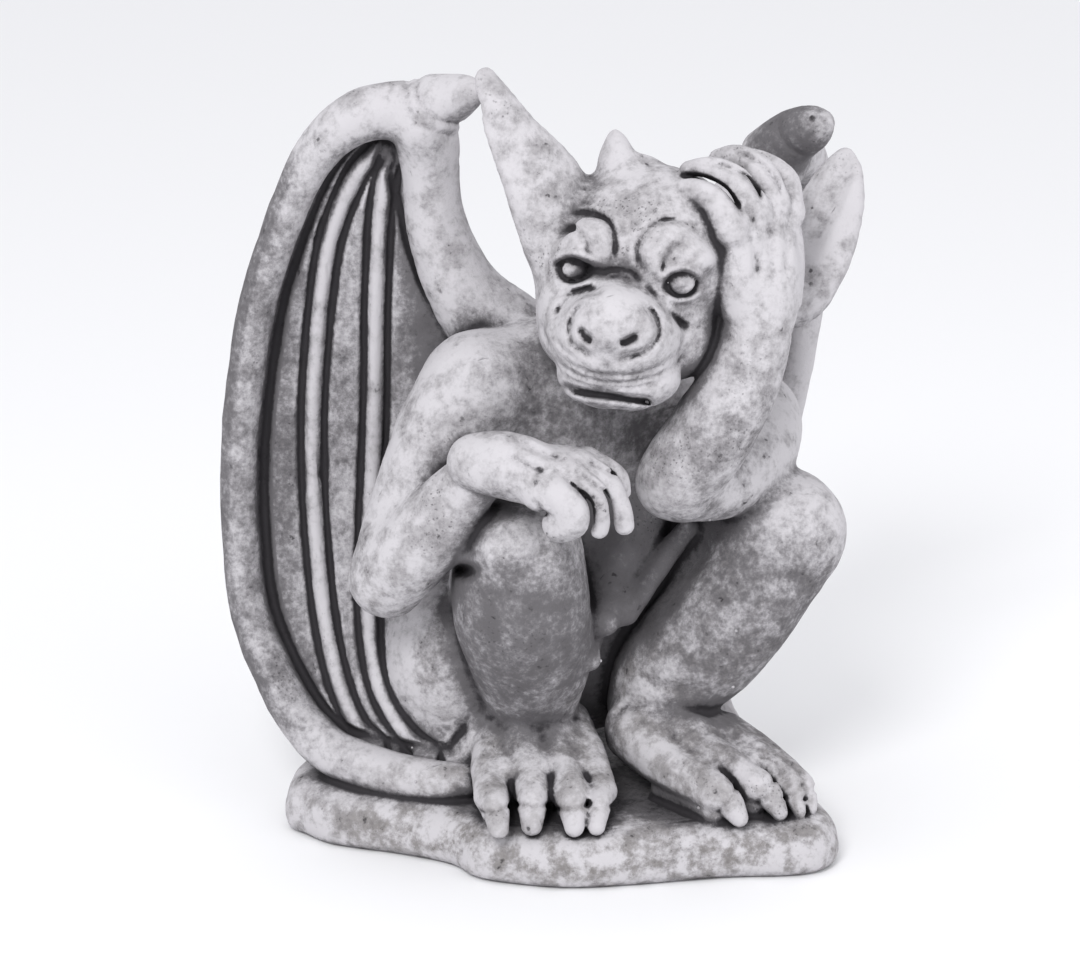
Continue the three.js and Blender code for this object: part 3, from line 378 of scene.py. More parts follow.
left_hand = Group(
    2,
    [
        HEAD.limb([[55, -18, 4, 17], [56, -4, 3, 18], [55, 8, 3, 17], [54, 18, 3, 14]]),
        HEAD.limb([[45, 13, 16, 10.5], [45, -2, 14, 12], [49, -16, 9, 13]]),
        HEAD.limb([[66, 16, -4, 9], [66, 2, -3, 10], [64, -12, 0, 11]]),
    ]
    + [HEAD.limb([[53, 6, 5, 12], stations[0]]) for stations in LEFT_FINGERS]
    + [HEAD.limb(stations) for stations in LEFT_FINGERS],
    [Line(HEAD, points, width, depth) for points, width, depth in LEFT_HAND_LINES],
)

# Legs and feet

LEFT_SHIN_LINES = [
    ([[-60, -22], [-49.5, -28], [-36, -30], [-20, -31]], 4.4, 2.0),
    ([[-6, 34], [8, 26], [24, 23], [34, 27]], 7.0, 1.6),
    ([[-24, 44], [-30, 26], [-44, 8], [-58, -8]], 6.0, 1.6),
]

LEFT_SHIN_DENTS = [([16.5, 39], [9, 8]), ([-3, 24], [11, 7])]

right_leg = Group(8, [
    limb([[-32, -29, 155, 25], [-21, 8, 126, 32], [0, 45, 92, 38]], 6),
    limb([[-30, -30, 152, 27], [-29, -22, 126, 32.5], [-21, -11, 99, 30], [-16.5, -2, 78, 25],
          [-14, 2, 60, 20.5]], 6),
    ball([-43, -43, 162], [13, 12, 13]),
    ball([-50, -25, 155], [9.5, 9, 8.5]),
], [
    Dent(HAND_R, [-41, -40], [9, 6], 5, behind=-60),
    Line(HAND_R, [[-9, -14], [-6, -27], [-13, -38], [-31, -41]], 5.5, 2.2, fade=2.4, behind=-60),
])

left_leg = Group(8, [
    limb([[103, -24, 148, 29.5], [90, 6, 132, 34], [64, 40, 98, 40]], 6),
    limb([[102, -26, 145, 29], [86.5, -26, 121, 28.5], [69, -18, 97, 30.5], [53.5, -10, 77, 28],
          [47, -5, 58, 24]], 6),
    ball([108, -38, 152], [17, 13, 18]),
], [Line(SHIN_L, points, width, depth, fade=2.4, behind=-40) for points, width, depth in LEFT_SHIN_LINES]
   + [Dent(SHIN_L, center, radii, 1.6, behind=-40) for center, radii in LEFT_SHIN_DENTS])

haunch = Group(6, [ball([-46, 34, 82], [32, 36, 44]), ball([84, 40, 80], [28, 34, 40])])

KNUCKLE_WRINKLES = 6


def foot(axes, toes, lines):
    """Toes given from the instep over the knuckle to the claw's tip, each with its cuff and wrinkles."""
    forms = []
    marks = [Line(axes, points, width, depth, behind=-30) for points, width, depth in lines]
    for one, other in zip(toes, toes[1:]):
        web = np.mean([one[:3], other[:3]], axis=0)
        web[1] += 0.25 * (web[0] - web[1])
        web[2] += 0.45 * (web[1] - web[2])
        web[:, 2] -= 1.5
        forms.append(limb(web))
    for start, middle, bulge, tip in toes:
        claw = [bulge[i] + (tip[i] - bulge[i]) * 0.5 for i in range(3)]
        claw[2] += 2.5
        forms.append(limb([start, middle, bulge]))
        forms.append(limb([[*bulge[:3], bulge[3] * 0.86], [*claw, bulge[3] * 0.76], tip]))
        forms.append(limb([[*middle[:2], 31, middle[3] * 0.55], [*bulge[:2], 31, bulge[3] * 0.7]]))
        seen = [axes.local(np.array(p[:3], np.float32))[:2] for p in (middle, bulge, claw)]
        along = (seen[1] - seen[0]) / np.linalg.norm(seen[1] - seen[0])
        sideways = np.array([-along[1], along[0]])
        for step in range(KNUCKLE_WRINKLES):
            middle_of = seen[0] + (seen[1] - seen[0]) * (0.15 + 0.7 * step / KNUCKLE_WRINKLES)
            half = 0.75 * middle[3]
            arch = [middle_of - sideways * half - along, middle_of + along * 0.8,
                    middle_of + sideways * half - along]
            marks.append(Line(axes, arch, 1.5, 0.5, behind=-30))
        ahead = (seen[2] - seen[1]) / np.linalg.norm(seen[2] - seen[1])
        across_toe = np.array([-ahead[1], ahead[0]])
        cuff = seen[1] + ahead * bulge[3] * 0.7
        half = 0.9 * bulge[3]
        marks.append(Line(axes, [cuff - across_toe * half, cuff + ahead * 1.5, cuff + across_toe * half],
                          1.9, 1.3, behind=-30))
    return Group(2, forms, marks)


right_foot = foot(
    FOOT_R,
    [
        [[-29, 2, 52, 14], [-43, -18, 44, 9.6], [-50, -40, 38, 8.8], [-54, -60, 30, 4.8]],
        [[-22, -4, 56, 14], [-27, -25, 47, 9.6], [-31, -43, 40, 9.8], [-38.5, -63, 30.5, 5]],
        [[-10, -6, 56, 14], [-12, -30, 47, 9.4], [-15, -52, 40, 9.8], [-20.5, -71, 30.5, 5]],
        [[0, -2, 52, 14], [3, -29, 44, 9], [0, -52, 38, 8], [-10, -73, 30, 4.4]],
    ],
    [
        ([[-18.5, 24], [-15.5, 12], [-15.5, -2]], 3.6, 1.2),
        ([[-2, 28], [2, 18], [3, 2]], 3.6, 1.2),
        ([[9, 28], [15, 18], [21, 4]], 3.6, 1.2),
        ([[-28.5, 35.5], [-18.5, 39.5], [-4.5, 41.5], [9, 39.5], [17, 34.5]], 3.2, 2.4),
        ([[-34.5, 44.5], [-20.5, 43], [-4.5, 44.5], [11, 45.5]], 2.6, 1.2),
    ],
)
left_foot = foot(
    FOOT_L,
    [
        [[34, -18, 52, 18], [37, -43, 45, 13], [49, -74, 40, 10], [56.5, -87, 30, 4.4]],
        [[48, -26, 54, 16], [57, -51, 49, 10], [69, -75, 41, 9], [77, -87, 30, 4]],
        [[62, -28, 50, 14], [77, -55, 45, 9], [86, -73, 39, 7.6], [87.5, -87, 29, 3.2]],
        [[74, -26, 46, 12], [89, -56, 41, 7.4], [94, -75, 36, 6], [95, -85, 28.5, 2.6]],
    ],
    [
        ([[-34.5, 21], [-28.5, 13], [-12.5, 5], [3.5, -11]], 3.6, 1.4),
        ([[-18.5, 21], [-4.5, 15], [11.5, 3]], 3.4, 1.3),
        ([[-8.5, 21], [11.5, 9], [25.5, -6.5]], 3.2, 1.2),
        ([[-64, 22], [-54.5, 30.5], [-43.5, 33.5], [-28, 33.5], [-14, 29.5]], 3.4, 2.6),
    ],
)

# Head

HEAD_LINES = [          # stroke, width and depth, raised where the depth is negative
    ([[-35, 23.5], [-30, 25.5], [-23.5, 25.5], [-17.5, 23.5], [-13, 19.5], [-11.5, 13.5], [-11.5, 8], [-12.5, 2]],
     2.8, 2.4),
    ([[-37, 16], [-32, 18.5], [-28, 17], [-24.5, 13], [-23, 7], [-21.5, 1.5], [-17.5, -1.5]], 2.8, 2.2),
    ([[19.5, 22.5], [12.5, 22.5], [6, 20], [1.5, 15.5], [-1, 10], [-0.5, 4.5], [2.5, -0.5]], 2.8, 2.4),
    ([[19.5, 12], [15, 11], [12, 7], [10.5, 2.5], [10.5, -1.5]], 2.4, 1.8),
    ([[-34.5, 26], [-28.5, 29.5], [-20.5, 30], [-13.5, 29], [-8, 27.5], [-2, 26], [6, 25.5]], 1.9, 1.0),
    ([[-17.5, -1.5], [-10.5, 0], [-4, -1], [0.5, -5.5]], 1.8, 1.3),
    ([[-14, -3.5], [-8.5, -2.5], [-3, -5]], 1.6, 1.0),
    ([[-16, -8.5], [-22, -9.5], [-28, -11], [-32.5, -14.5], [-36, -19], [-38, -24.5]], 3.6, 2.8),
    ([[1, -6], [6, -11], [10.5, -16.5], [14.5, -21.5], [18.5, -24.5], [22.5, -27.5]], 3.0, 1.8),
    ([[-22.5, -16], [-27, -17], [-30, -22], [-31, -28], [-29, -34], [-24, -37.5], [-19, -41]], 2.6, 2.4),
    ([[-1, -16.5], [4.5, -18], [8, -23.5], [8, -30], [3, -36], [-5, -39.5], [-12, -43]], 2.6, 2.4),
    ([[-26.5, -26], [-24.5, -29.5], [-20.5, -32.5]], 3.0, 3.0),
    ([[-9.5, -33], [-5, -31.5], [-0.5, -29.5]], 3.0, 3.0),
    ([[-42, -30], [-37, -38], [-28.5, -44], [-19.5, -47], [-8, -47.5], [4.5, -45.5], [14.5, -39.5], [21, -31.5]],
     1.8, 1.1),
    ([[-39.5, -37], [-33.5, -44.5], [-24.5, -49], [-12, -51], [1.5, -49.5], [12.5, -45.5], [21, -38]], 1.8, 1.1),
    ([[-37.5, -44.5], [-30, -50.5], [-19.5, -53], [-5, -53.5], [8, -51], [17.5, -45.5]], 1.7, 1.0),
    ([[-37, -23], [-38, -30], [-35, -35.5], [-28, -40.5]], 1.8, 1.0),
    ([[-44.5, -23], [-43, -30], [-39.5, -36.5]], 1.8, 0.9),
    ([[-35, -53], [-28, -55], [-20.5, -56], [-12, -57], [-3.5, -58.5], [3.5, -59.5], [5, -62]], 3.0, 4.2),
    ([[-26, -59.3], [-17, -60], [-8, -61]], 2.4, -1.4),
    ([[-28, -60.5], [-22.5, -63.5], [-13.5, -64.5], [-5.5, -63]], 2.2, 1.6),
    ([[-41, 1.5], [-36.5, 6], [-29.5, 7], [-22.5, 4.5], [-20.5, -0.5]], 3.0, -2.8),
    ([[-39.5, -4], [-33.5, -7], [-26.5, -7], [-20.5, -3]], 2.2, -1.6),
    ([[-41, -9.5], [-36.5, -11.5], [-31.5, -11]], 1.8, 0.9),
    ([[9, -6], [13, -1.5], [19.5, 0.5], [25.5, -2], [28, -7]], 3.0, -2.8),
    ([[11, -10.5], [16.5, -13.5], [23.5, -13], [28, -8.5]], 2.2, -1.4),
    ([[12.5, -17], [18, -23], [25.5, -26], [31, -23]], 2.2, 0.9),
]
EYES = [[-29.5, 0, 24.8], [19, -5.5, 31.8]]
EYE_SIZE = 5.9

head = Group(
    6,
    [
        HEAD.ball([4, 7, -8], [46, 42, 45]),
        HEAD.ball([-11.5, -28, 24], [31, 27, 30]),
        HEAD.ball([-13, -21, 46], [18, 13, 13]),
        HEAD.ball([-24, -27, 43], [7.5, 10, 8]),
        HEAD.ball([-1.5, -27, 46], [9.5, 10, 8]),
        HEAD.ball([-13, -27, 52], [9, 8.5, 9]),
        HEAD.ball([-35, -18, 5], [13, 26, 25]),
        HEAD.ball([17, -27, -3], [19, 24, 25]),
        HEAD.ball([-9, -49, 19], [28, 16, 19]),
        HEAD.ball([-32, 4, 0], [16, 22, 24]),
        HEAD.ball([-21, 12, 31], [12, 12, 9]),
        HEAD.ball([-31, 9, 24], [8, 6, 7]),
        HEAD.ball([10, 11, 33], [15, 12, 9]),
        HEAD.ball([23, 5, 31], [11, 7, 9]),
        HEAD.limb([[-8, 40, -2, 12], [-10.5, 49, -3, 9.5], [-11.5, 57, -4, 6], [-12, 61, -5, 3.4]]),
        HEAD.ball([2, 46, -5], [7, 6.5, 6]),
    ],
    [Line(HEAD, points, width, depth) for points, width, depth in HEAD_LINES]
    + [Dent(HEAD, [r, u], [11, 8], 4.6) for r, u, _ in EYES],
)
eyeballs = Group(
    1,
    [HEAD.ball(center, [EYE_SIZE, EYE_SIZE * 0.92, EYE_SIZE]) for center in EYES]
    + [HEAD.ball([r - 0.5, u, f + EYE_SIZE * 0.84], [1.9, 1.9, 1.8]) for r, u, f in EYES],
    [
        Line(HEAD, [[r - 0.5 + 3.3 * math.cos(a), u + 3.3 * math.sin(a)] for a in np.arange(0, 6.5, 0.8)],
             1.2, 0.35, fade=99)
        for r, u, _ in EYES
    ],
)

right_ear = Group(3, [
    flat_limb([[-6, -16, 303, 23], [-14, -14, 323, 20.5], [-25, -9, 343, 14.5], [-34, -3, 362, 9.6],
               [-38, 0, 373, 5.5]], [0.3, -0.94, 0.1], 1.7),
], [Line(HEAD, [[-74, 82], [-66, 66], [-56, 46], [-46, 28]], 7, 1.6, behind=-60)])
left_ear = Group(3, [
    flat_limb([[78, -16, 262, 14], [108, -14, 262, 17], [120, -12, 276, 19], [131, -8, 296, 17.5],
               [139, -3, 312, 12], [142.5, 0, 321, 6]], [-0.75, -0.6, 0.2], 1.9),
], [Line(HEAD, [[98, 52], [92, 38], [86, 24], [78, 8]], 7, 3.0, behind=-70)])

# Wings: a cupped skin inside a rounded rim, ribs that fan from the wrist, an arm and a claw

RIB_HALF_WIDTH = 5.5
RIB_LIFT = 2.4
GROOVE_HALF_WIDTH = 3.4
GROOVE_DEPTH = 4.2
GROOVE_OFFSET = 5.6         # from a rib's middle to the middle of the groove beside it
RIM_GROOVE_OFFSET = 12.0


def bump(gap, half_width):
    return np.clip(1 - (gap / half_width) ** 2, 0, 1) ** 2


def wing(axes, rim, arm, claw, inner, ribs, slope, recess, marks=()):
    def flat(points):
        rows = []
        for p in points:
            right, _, front = axes.local(np.array(p[:3], np.float32))
            rows.append([right, p[2], front])
        return smoothed(rows, 3)

    rim_flat = flat(rim)
    outline = np.vstack([rim_flat, flat(inner)])[:, :2]
    side = rim_flat[np.argsort(rim_flat[:, 1])]
    rib_lines = [smoothed(rib, 3) for rib in ribs]
    lean_at, lean_by = zip(*slope)

    def distance(p):
        q = axes.local(p)
        a, c, z = q[..., 0], q[..., 2], p[..., 2]
        away = outline_distance(outline, a, z)
        edge = np.interp(z, side[:, 1], side[:, 0])
        front = np.interp(z, side[:, 1], side[:, 2]) - recess + np.interp(z, lean_at, lean_by) * (edge - a)
        groove = bump(away + RIM_GROOVE_OFFSET, GROOVE_HALF_WIDTH + 0.6)
        lift = np.zeros_like(groove)
        for line in rib_lines:
            gap, _ = line_distance(line, a, z)
            lift = np.maximum(lift, bump(gap, RIB_HALF_WIDTH))
            groove = np.maximum(groove, bump(gap - GROOVE_OFFSET, GROOVE_HALF_WIDTH))
        front = front + RIB_LIFT * lift - GROOVE_DEPTH * groove
        sheet = np.abs(c - front + WING_SKIN / 2) - WING_SKIN / 2
        return (0.8 * cross(sheet, away, 4)).astype(np.float32)

    def panel(p):
        """How much a point belongs to the skin between the ribs, 0 to 1, and its place across and up the wing."""
        q = axes.local(p)
        a, c, z = q[..., 0], q[..., 2], p[..., 2]
        away = outline_distance(outline, a, z)
        edge = np.interp(z, side[:, 1], side[:, 0])
        front = np.interp(z, side[:, 1], side[:, 2]) - recess + np.interp(z, lean_at, lean_by) * (edge - a)
        share = np.clip((-away - RIM_GROOVE_OFFSET - 2) / 4, 0, 1) * np.clip(3 - np.abs(c - front), 0, 1)
        for line in rib_lines:
            gap, _ = line_distance(line, a, z)
            share *= np.clip((gap - GROOVE_OFFSET - 1) / 3, 0, 1)
        return share, a, z

    low, high = around([p[:3] for p in rim + inner], 30)
    group = Group(4, [Form(low, high, distance), limb(rim), limb(arm), limb(claw)], marks)
    group.panel = panel
    return group


RIGHT_CLAW = facing([-46, 36, 358])
right_axes = Axes([0, 0, SLAB_THICKNESS], TURN)
right_axes.rows[0] *= -1
right_wing = wing(
    right_axes,
    rim=[[-52, 44, 351, 14], [-67, 48, 350.5, 13.5], [-82, 52, 348, 12.5], [-95, 58, 338, 11], [-106, 64, 320, 9.6],
         [-118, 72, 286, 9], [-128, 78, 247, 9], [-136, 82, 182, 8.8], [-136.5, 80, 132, 9], [-134, 76, 100, 9.4],
         [-126.5, 64, 73, 10], [-116, 50, 50, 10.8], [-104, 36, 38, 11.4], [-86, 16, 33.5, 11.4],
         [-66, -2, 33, 10], [-54, -9, 34, 8.5]],
    arm=[[-54, 42, 345, 16], [-50, 46, 330, 14.5], [-48.5, 48, 312, 13.5], [-46, 48, 294, 14.5], [-40, 46, 275, 16],
         [-30, 44, 256, 18.5], [-14, 40, 238, 23]],
    claw=[[-50, 41, 353, 14.5], [-44, 34, 357, 11.8], [-39.5, 26, 361, 9], [-37.5, 22, 362.5, 6]],
    inner=[[-36, 8, 50], [-20, 30, 110], [-14, 32, 170], [-20, 36, 226], [-42, 46, 270], [-56, 48, 318]],
    ribs=[
        [[86, 331], [96, 320], [104, 304], [110.5, 285], [115, 259], [118, 231], [120.5, 197], [120.5, 158], [118, 120],
         [115, 95], [109, 70], [100, 50], [90, 42]],
        [[79, 331], [83, 318], [86, 300], [88, 275], [89.5, 240], [90.5, 200], [93, 150], [94, 110], [92, 84], [86, 64],
         [74, 48], [64, 42]],
    ],
    slope=[[40, 0.42], [110, 0.2], [180, 0], [400, 0]],
    recess=5,
    marks=[
        Line(RIGHT_CLAW, [[-6, 14], [-12, 7], [-11, -2], [-4, -10], [5, -12], [9, -11]], 2.4, 1.5, behind=-12),
        Line(RIGHT_CLAW, [[-13, 12], [-17, 4], [-16, -5], [-8, -14], [2, -18], [8, -17]], 2.4, 1.3, behind=-12),
    ],
)

LEFT_CLAW = facing([133, 26, 330])
left_axes = Axes([102, -7, SLAB_THICKNESS], 47)
left_wing = wing(
    left_axes,
    rim=[[130, 50, 314, 15], [152, 72, 306, 12.5], [166, 90, 280, 11], [170, 98, 245, 10], [165, 100, 200, 9.5],
         [154, 94, 160, 9.5], [136, 78, 110, 10], [113, 50, 74, 10.5], [87, 23, 50, 10], [89, 11, 34, 10]],
    arm=[[128, 48, 310, 15], [112, 54, 288, 16], [92, 52, 262, 18], [58, 46, 234, 26]],
    claw=[[124, 46, 315, 14.5], [130, 35, 325, 13.5], [134.5, 25, 331, 11.5], [137, 18, 334.5, 7.5]],
    inner=[[56, 34, 56], [52, 44, 110], [54, 50, 170], [64, 54, 226], [92, 54, 266], [120, 52, 300]],
    ribs=[
        [[72, 300], [88, 270], [96, 230], [96, 190], [88, 150], [70, 112], [44, 80], [22, 60]],
        [[62, 296], [66, 262], [68, 220], [64, 180], [56, 140], [42, 104], [26, 80], [10, 62]],
    ],
    slope=[[40, -0.5], [110, -0.45], [226, -0.43], [268, -0.36], [300, -0.2], [340, 0]],
    recess=5,
    marks=[
        Line(LEFT_CLAW, [[-12, 8], [-12, 0], [-7, -8], [2, -12]], 2.4, 1.6, behind=-20),
        Dent(LEFT_CLAW, [3.5, 6], [2.2, 2.2], 2.2, behind=-10),
    ],
)

# Slab

SLAB_OUTLINE = [
    [-128, 42], [-124, 28], [-115, 11], [-87, -12], [-69, -31], [-61, -52], [-28, -75], [8, -84], [47, -90],
    [83, -100], [101, -96], [111, -80], [112, -50], [112, 0], [110, 50], [96, 84], [56, 97], [0, 98], [-60, 92],
    [-110, 76],
]


def make_slab():
    outline = smoothed(SLAB_OUTLINE, 4, closed=True)

    def distance(p):
        sides = outline_distance(outline, p[..., 0], p[..., 1])
        rounded = cross(sides, p[..., 2] - SLAB_THICKNESS, 2.4 * SLAB_EDGE_RADIUS)
        return cross(rounded, -p[..., 2], SLAB_EDGE_RADIUS).astype(np.float32)

    corners = np.array([[x, y, z] for x, y in outline for z in (0, SLAB_THICKNESS)])
    return Group(1, [Form(*around(corners, SLAB_EDGE_RADIUS), distance)])


JOINS = [
    (torso, 1), (belly, 8), (right_wing, 5), (left_wing, 5), (haunch, 4), (right_leg, 4), (left_leg, 4),
    (right_arm, 5), (left_arm, 5), (head, 3), (right_ear, 6), (left_ear, 3), (eyeballs, 0.6), (right_hand, 1.6),
    (left_hand, 1.6), (right_foot, 3), (left_foot, 3), (make_slab(), 2.5),
]


# From distances to a mesh: coarse blocks near the surface are split and sampled voxel by voxel

def block_points(corners, size, spacing):
    steps = np.arange(size)
    offsets = np.stack(np.meshgrid(steps, steps, steps, indexing="ij"), axis=-1).reshape(-1, 3)
    return ((corners[:, None, :] + offsets[None]) * spacing).astype(np.float32)


def fill_blocks(volume, corners, values):
    """Writes a fine block of values at each corner."""
    i, j, k = np.ogrid[:FINE_BLOCK, :FINE_BLOCK, :FINE_BLOCK]
    x, y, z = (corners[:, axis, None, None, None] for axis in range(3))
    volume[x + i, y + j, z + k] = values


def sample_volume():
    """Distances on the voxel grid, exact near the surface, and the grid's origin in voxels."""
    low = np.floor(np.min([g.low for g, _ in JOINS], axis=0) / VOXEL).astype(int) - 3
    low[2] = -3
    high = np.ceil(np.max([g.high for g, _ in JOINS], axis=0) / VOXEL).astype(int) + 3
    blocks = -(-(high - low) // BLOCK)
    shape = blocks * BLOCK
    shift = np.array([0, 0, PLANE_SHIFT])
    volume = np.empty(shape, np.float32)

    grid = np.stack(np.meshgrid(*[np.arange(n) for n in blocks], indexing="ij"), axis=-1).reshape(-1, 3)
    corners = low + grid * BLOCK
    middles = ((corners + (BLOCK - 1) / 2 + shift) * VOXEL).astype(np.float32)
    half = BLOCK * VOXEL / 2
    coarse = figure_distance(middles[:, None, :], 0.0, 2.5 * half)[:, 0]
    view = volume.reshape(blocks[0], BLOCK, blocks[1], BLOCK, blocks[2], BLOCK)
    view[:] = coarse.reshape(*blocks)[:, None, :, None, :, None]

    near = np.abs(coarse) < 1.8 * math.sqrt(3) * half
    steps = np.array([[i, j, k] for i in (0, 1) for j in (0, 1) for k in (0, 1)]) * FINE_BLOCK
    fine = (corners[near][:, None, :] + steps[None]).reshape(-1, 3)
    fine_half = FINE_BLOCK * VOXEL / 2
    for start in range(0, len(fine), BLOCKS_AT_ONCE):
        part = fine[start:start + BLOCKS_AT_ONCE]
        centre = ((part + (FINE_BLOCK - 1) / 2 + shift) * VOXEL).astype(np.float32)
        middle = figure_distance(centre[:, None, :], 0.0, 2.5 * fine_half)[:, 0]
        index = part - low
        close = np.abs(middle) < 2.0 * math.sqrt(3) * fine_half
        fill_blocks(volume, index, middle[:, None, None, None])
        exact = part[close]
        inner = index[close]
        for first in range(0, len(exact), SAMPLED_AT_ONCE):
            rows = slice(first, first + SAMPLED_AT_ONCE)
            points = block_points(exact[rows] + shift, FINE_BLOCK, VOXEL)
            values = figure_distance(points, fine_half, 2 * VOXEL)
            fill_blocks(volume, inner[rows], values.reshape(-1, FINE_BLOCK, FINE_BLOCK, FINE_BLOCK))
    return volume, low + shift


def box_blur(field, radius):
    """Mean over a cube of 2 radius + 1 voxels."""
    for axis in range(3):
        pad = [(0, 0)] * 3
        pad[axis] = (radius + 1, radius)
        total = np.cumsum(np.pad(field, pad, mode="edge"), axis=axis, dtype=np.float64)
        size = 2 * radius + 1
        upper = np.take(total, range(size, total.shape[axis]), axis=axis)
        lower = np.take(total, range(0, total.shape[axis] - size), axis=axis)
        field = ((upper - lower) / size).astype(np.float32)
    return field


def sample_at(field, origin, points):
    """Trilinear values of a voxel field at points in millimetres."""
    q = points / VOXEL - origin
    q = np.clip(q, 0, np.array(field.shape) - 1.001)
    i = q.astype(int)
    f = q - i
    result = np.zeros(len(points))
    for dx in (0, 1):
        for dy in (0, 1):
            for dz in (0, 1):
                weight = (np.abs(1 - dx - f[:, 0]) * np.abs(1 - dy - f[:, 1]) * np.abs(1 - dz - f[:, 2]))
                result += weight * field[i[:, 0] + dx, i[:, 1] + dy, i[:, 2] + dz]
    return result


def mesh_from_volume(volume, origin):
    grid = openvdb.FloatGrid(FAR)
    grid.copyFromArray(volume)
    points, triangles, quads = grid.convertToPolygons(isovalue=0.0, adaptivity=0.0)
    points = (points + origin) * VOXEL
    mesh = bpy.data.meshes.new("gargoyle_stone")
    mesh.vertices.add(len(points))
    mesh.vertices.foreach_set("co", (points * MM).astype(np.float32).ravel())
    corners = quads.astype(np.int32)
    mesh.loops.add(corners.size)
    mesh.loops.foreach_set("vertex_index", corners.ravel())
    mesh.polygons.add(len(corners))
    mesh.polygons.foreach_set("loop_start", np.arange(0, corners.size, 4, dtype=np.int32))
    mesh.update(calc_edges=True)
    mesh.validate()
    return mesh


def largest_body(obj):
    """Keeps the biggest loose body, so that no inner skin or crumb is left."""
    bpy.ops.object.select_all(action="DESELECT")
    bpy.context.view_layer.objects.active = obj
    obj.select_set(True)
    bpy.ops.mesh.separate(type="LOOSE")
    bodies = [o for o in bpy.context.selected_objects if o.type == "MESH"]
    bodies.sort(key=lambda o: len(o.data.vertices))
    biggest = bodies.pop()
    for crumb in bodies:
        bpy.data.objects.remove(crumb)
    return biggest


def thin_out(obj):
    """Brings the mesh down to the stone's triangle budget, evenly, so that no outline turns angular."""
    triangles = sum(len(p.vertices) - 2 for p in obj.data.polygons)
    thin = obj.modifiers.new("thin", "DECIMATE")
    thin.ratio = min(1.0, STONE_TRIANGLES / triangles)
    thin.use_collapse_triangulate = True
    bpy.ops.object.modifier_apply(modifier="thin")


def add_attribute(mesh, name, values):
    layer = mesh.attributes.new(name, "FLOAT", "POINT")
    layer.data.foreach_set("value", np.asarray(values, np.float32))


def vertex_places(mesh):
    at = np.empty(3 * len(mesh.vertices), np.float32)
    mesh.vertices.foreach_get("co", at)
    return at.reshape(-1, 3) / MM


def set_vertex_places(mesh, at):
    mesh.vertices.foreach_set("co", (at * MM).astype(np.float32).ravel())


def vertex_normals(mesh):
    normal = np.empty(3 * len(mesh.vertices), np.float32)
    mesh.vertex_normals.foreach_get("vector", normal)
    return normal.reshape(-1, 3)


def rise(value, low, high):
    """0 below low, 1 above high, smooth between."""
    t = np.clip((value - low) / (high - low), 0, 1)
    return t * t * (3 - 2 * t)


def nearness(at, centre, reach):
    """1 close to a centre, 0 beyond the reach."""
    return rise(-np.linalg.norm(at - np.array(centre), axis=1), -reach, -0.4 * reach)


SHELTER_PROBES = ((2.4, 0.8), (5.5, 2.0), (15.0, 6.0))      # reach of a probe, and its height off the surface
DARK_PLACES = [     # centre, reach and share of the darkness that the photograph shows there, painted on as dark wash and painted shade together
    ([-28, -38, 112], 78, 0.80), ([82, -38, 104], 80, 0.62), ([24, -8, 132], 62, 1.0), ([0, -10, 205], 62, 0.50),
    ([62, -62, 215], 50, 0.26), ([132, 34, 326], 34, 0.9),
]
WING_SKIN_SHARE = 0.5


def describe_surface(mesh, volume, origin):
    """Writes how sheltered the stone is around each point, where dark wash and painted shade lie, and where the stone
    is a darker, warmer grey low down, partly painted shade.
    """
    at, normal = vertex_places(mesh), vertex_normals(mesh)
    solid = np.clip(0.5 - volume / (2 * VOXEL), 0, 1)
    shelter = []
    for radius, lift in SHELTER_PROBES:
        full = box_blur(solid, max(1, round(radius / VOXEL)))
        shelter.append(sample_at(full, origin, at + normal * lift))
    small, middle, large = shelter
    fold = rise(small, 0.36, 0.56) + 0.9 * rise(middle, 0.38, 0.62)
    hollow = rise(large, 0.27, 0.62)
    add_attribute(mesh, "fold", fold)
    add_attribute(mesh, "hollow", hollow)
    add_attribute(mesh, "raised", rise(-middle, -0.30, -0.16) * rise(-large, -0.36, -0.2))
    # Painted shade on the outer side face of the right wing and along its far edge.
    outer_side_shade = rise(-normal[:, 0], 0.35, 0.85) * rise(-at[:, 0], 104, 118) * rise(at[:, 2], 40, 60)
    painted_shade_and_wash = np.maximum(0.75 * outer_side_shade, 0.42 * rise(-at[:, 0], 92, 122) * rise(at[:, 2], 30, 60))
    # Darkness painted at the listed places: partly dark wash, partly painted shade, as on the belly and the shaded
    # thighs.
    for centre, reach, share in DARK_PLACES:
        painted_shade_and_wash = np.maximum(painted_shade_and_wash, share * nearness(at, centre, reach))
    # The wing skin between the ribs is darkened too.
    for group in (right_wing, left_wing):
        painted_shade_and_wash = np.maximum(painted_shade_and_wash, WING_SKIN_SHARE * group.panel(at.astype(np.float32))[0])
    # Painted shade on the undersides, which face down.
    painted_shade_and_wash = np.maximum(painted_shade_and_wash, 0.5 * rise(-normal[:, 2], 0.1, 0.8))
    add_attribute(mesh, "painted_shade_and_wash", painted_shade_and_wash)
    # Darker, warmer grey low down, at the front and on the slab: partly the stone's own tone, partly painted shade.
    low_down = 0.6 * rise(-at[:, 2], -175, -95) * rise(-at[:, 1], -20, 10) + 0.6 * rise(-at[:, 2], -26, -18)
    add_attribute(mesh, "lower_tone_and_shade", np.clip(low_down, 0, 1))


UNEVEN = [[16.0, 0.5], [7.0, 0.28]]     # size and height of the hand-finished unevenness
PIT_SIZE = 5.0
PIT_DEPTH = 0.9
WRINKLE_DEPTH = 0.8


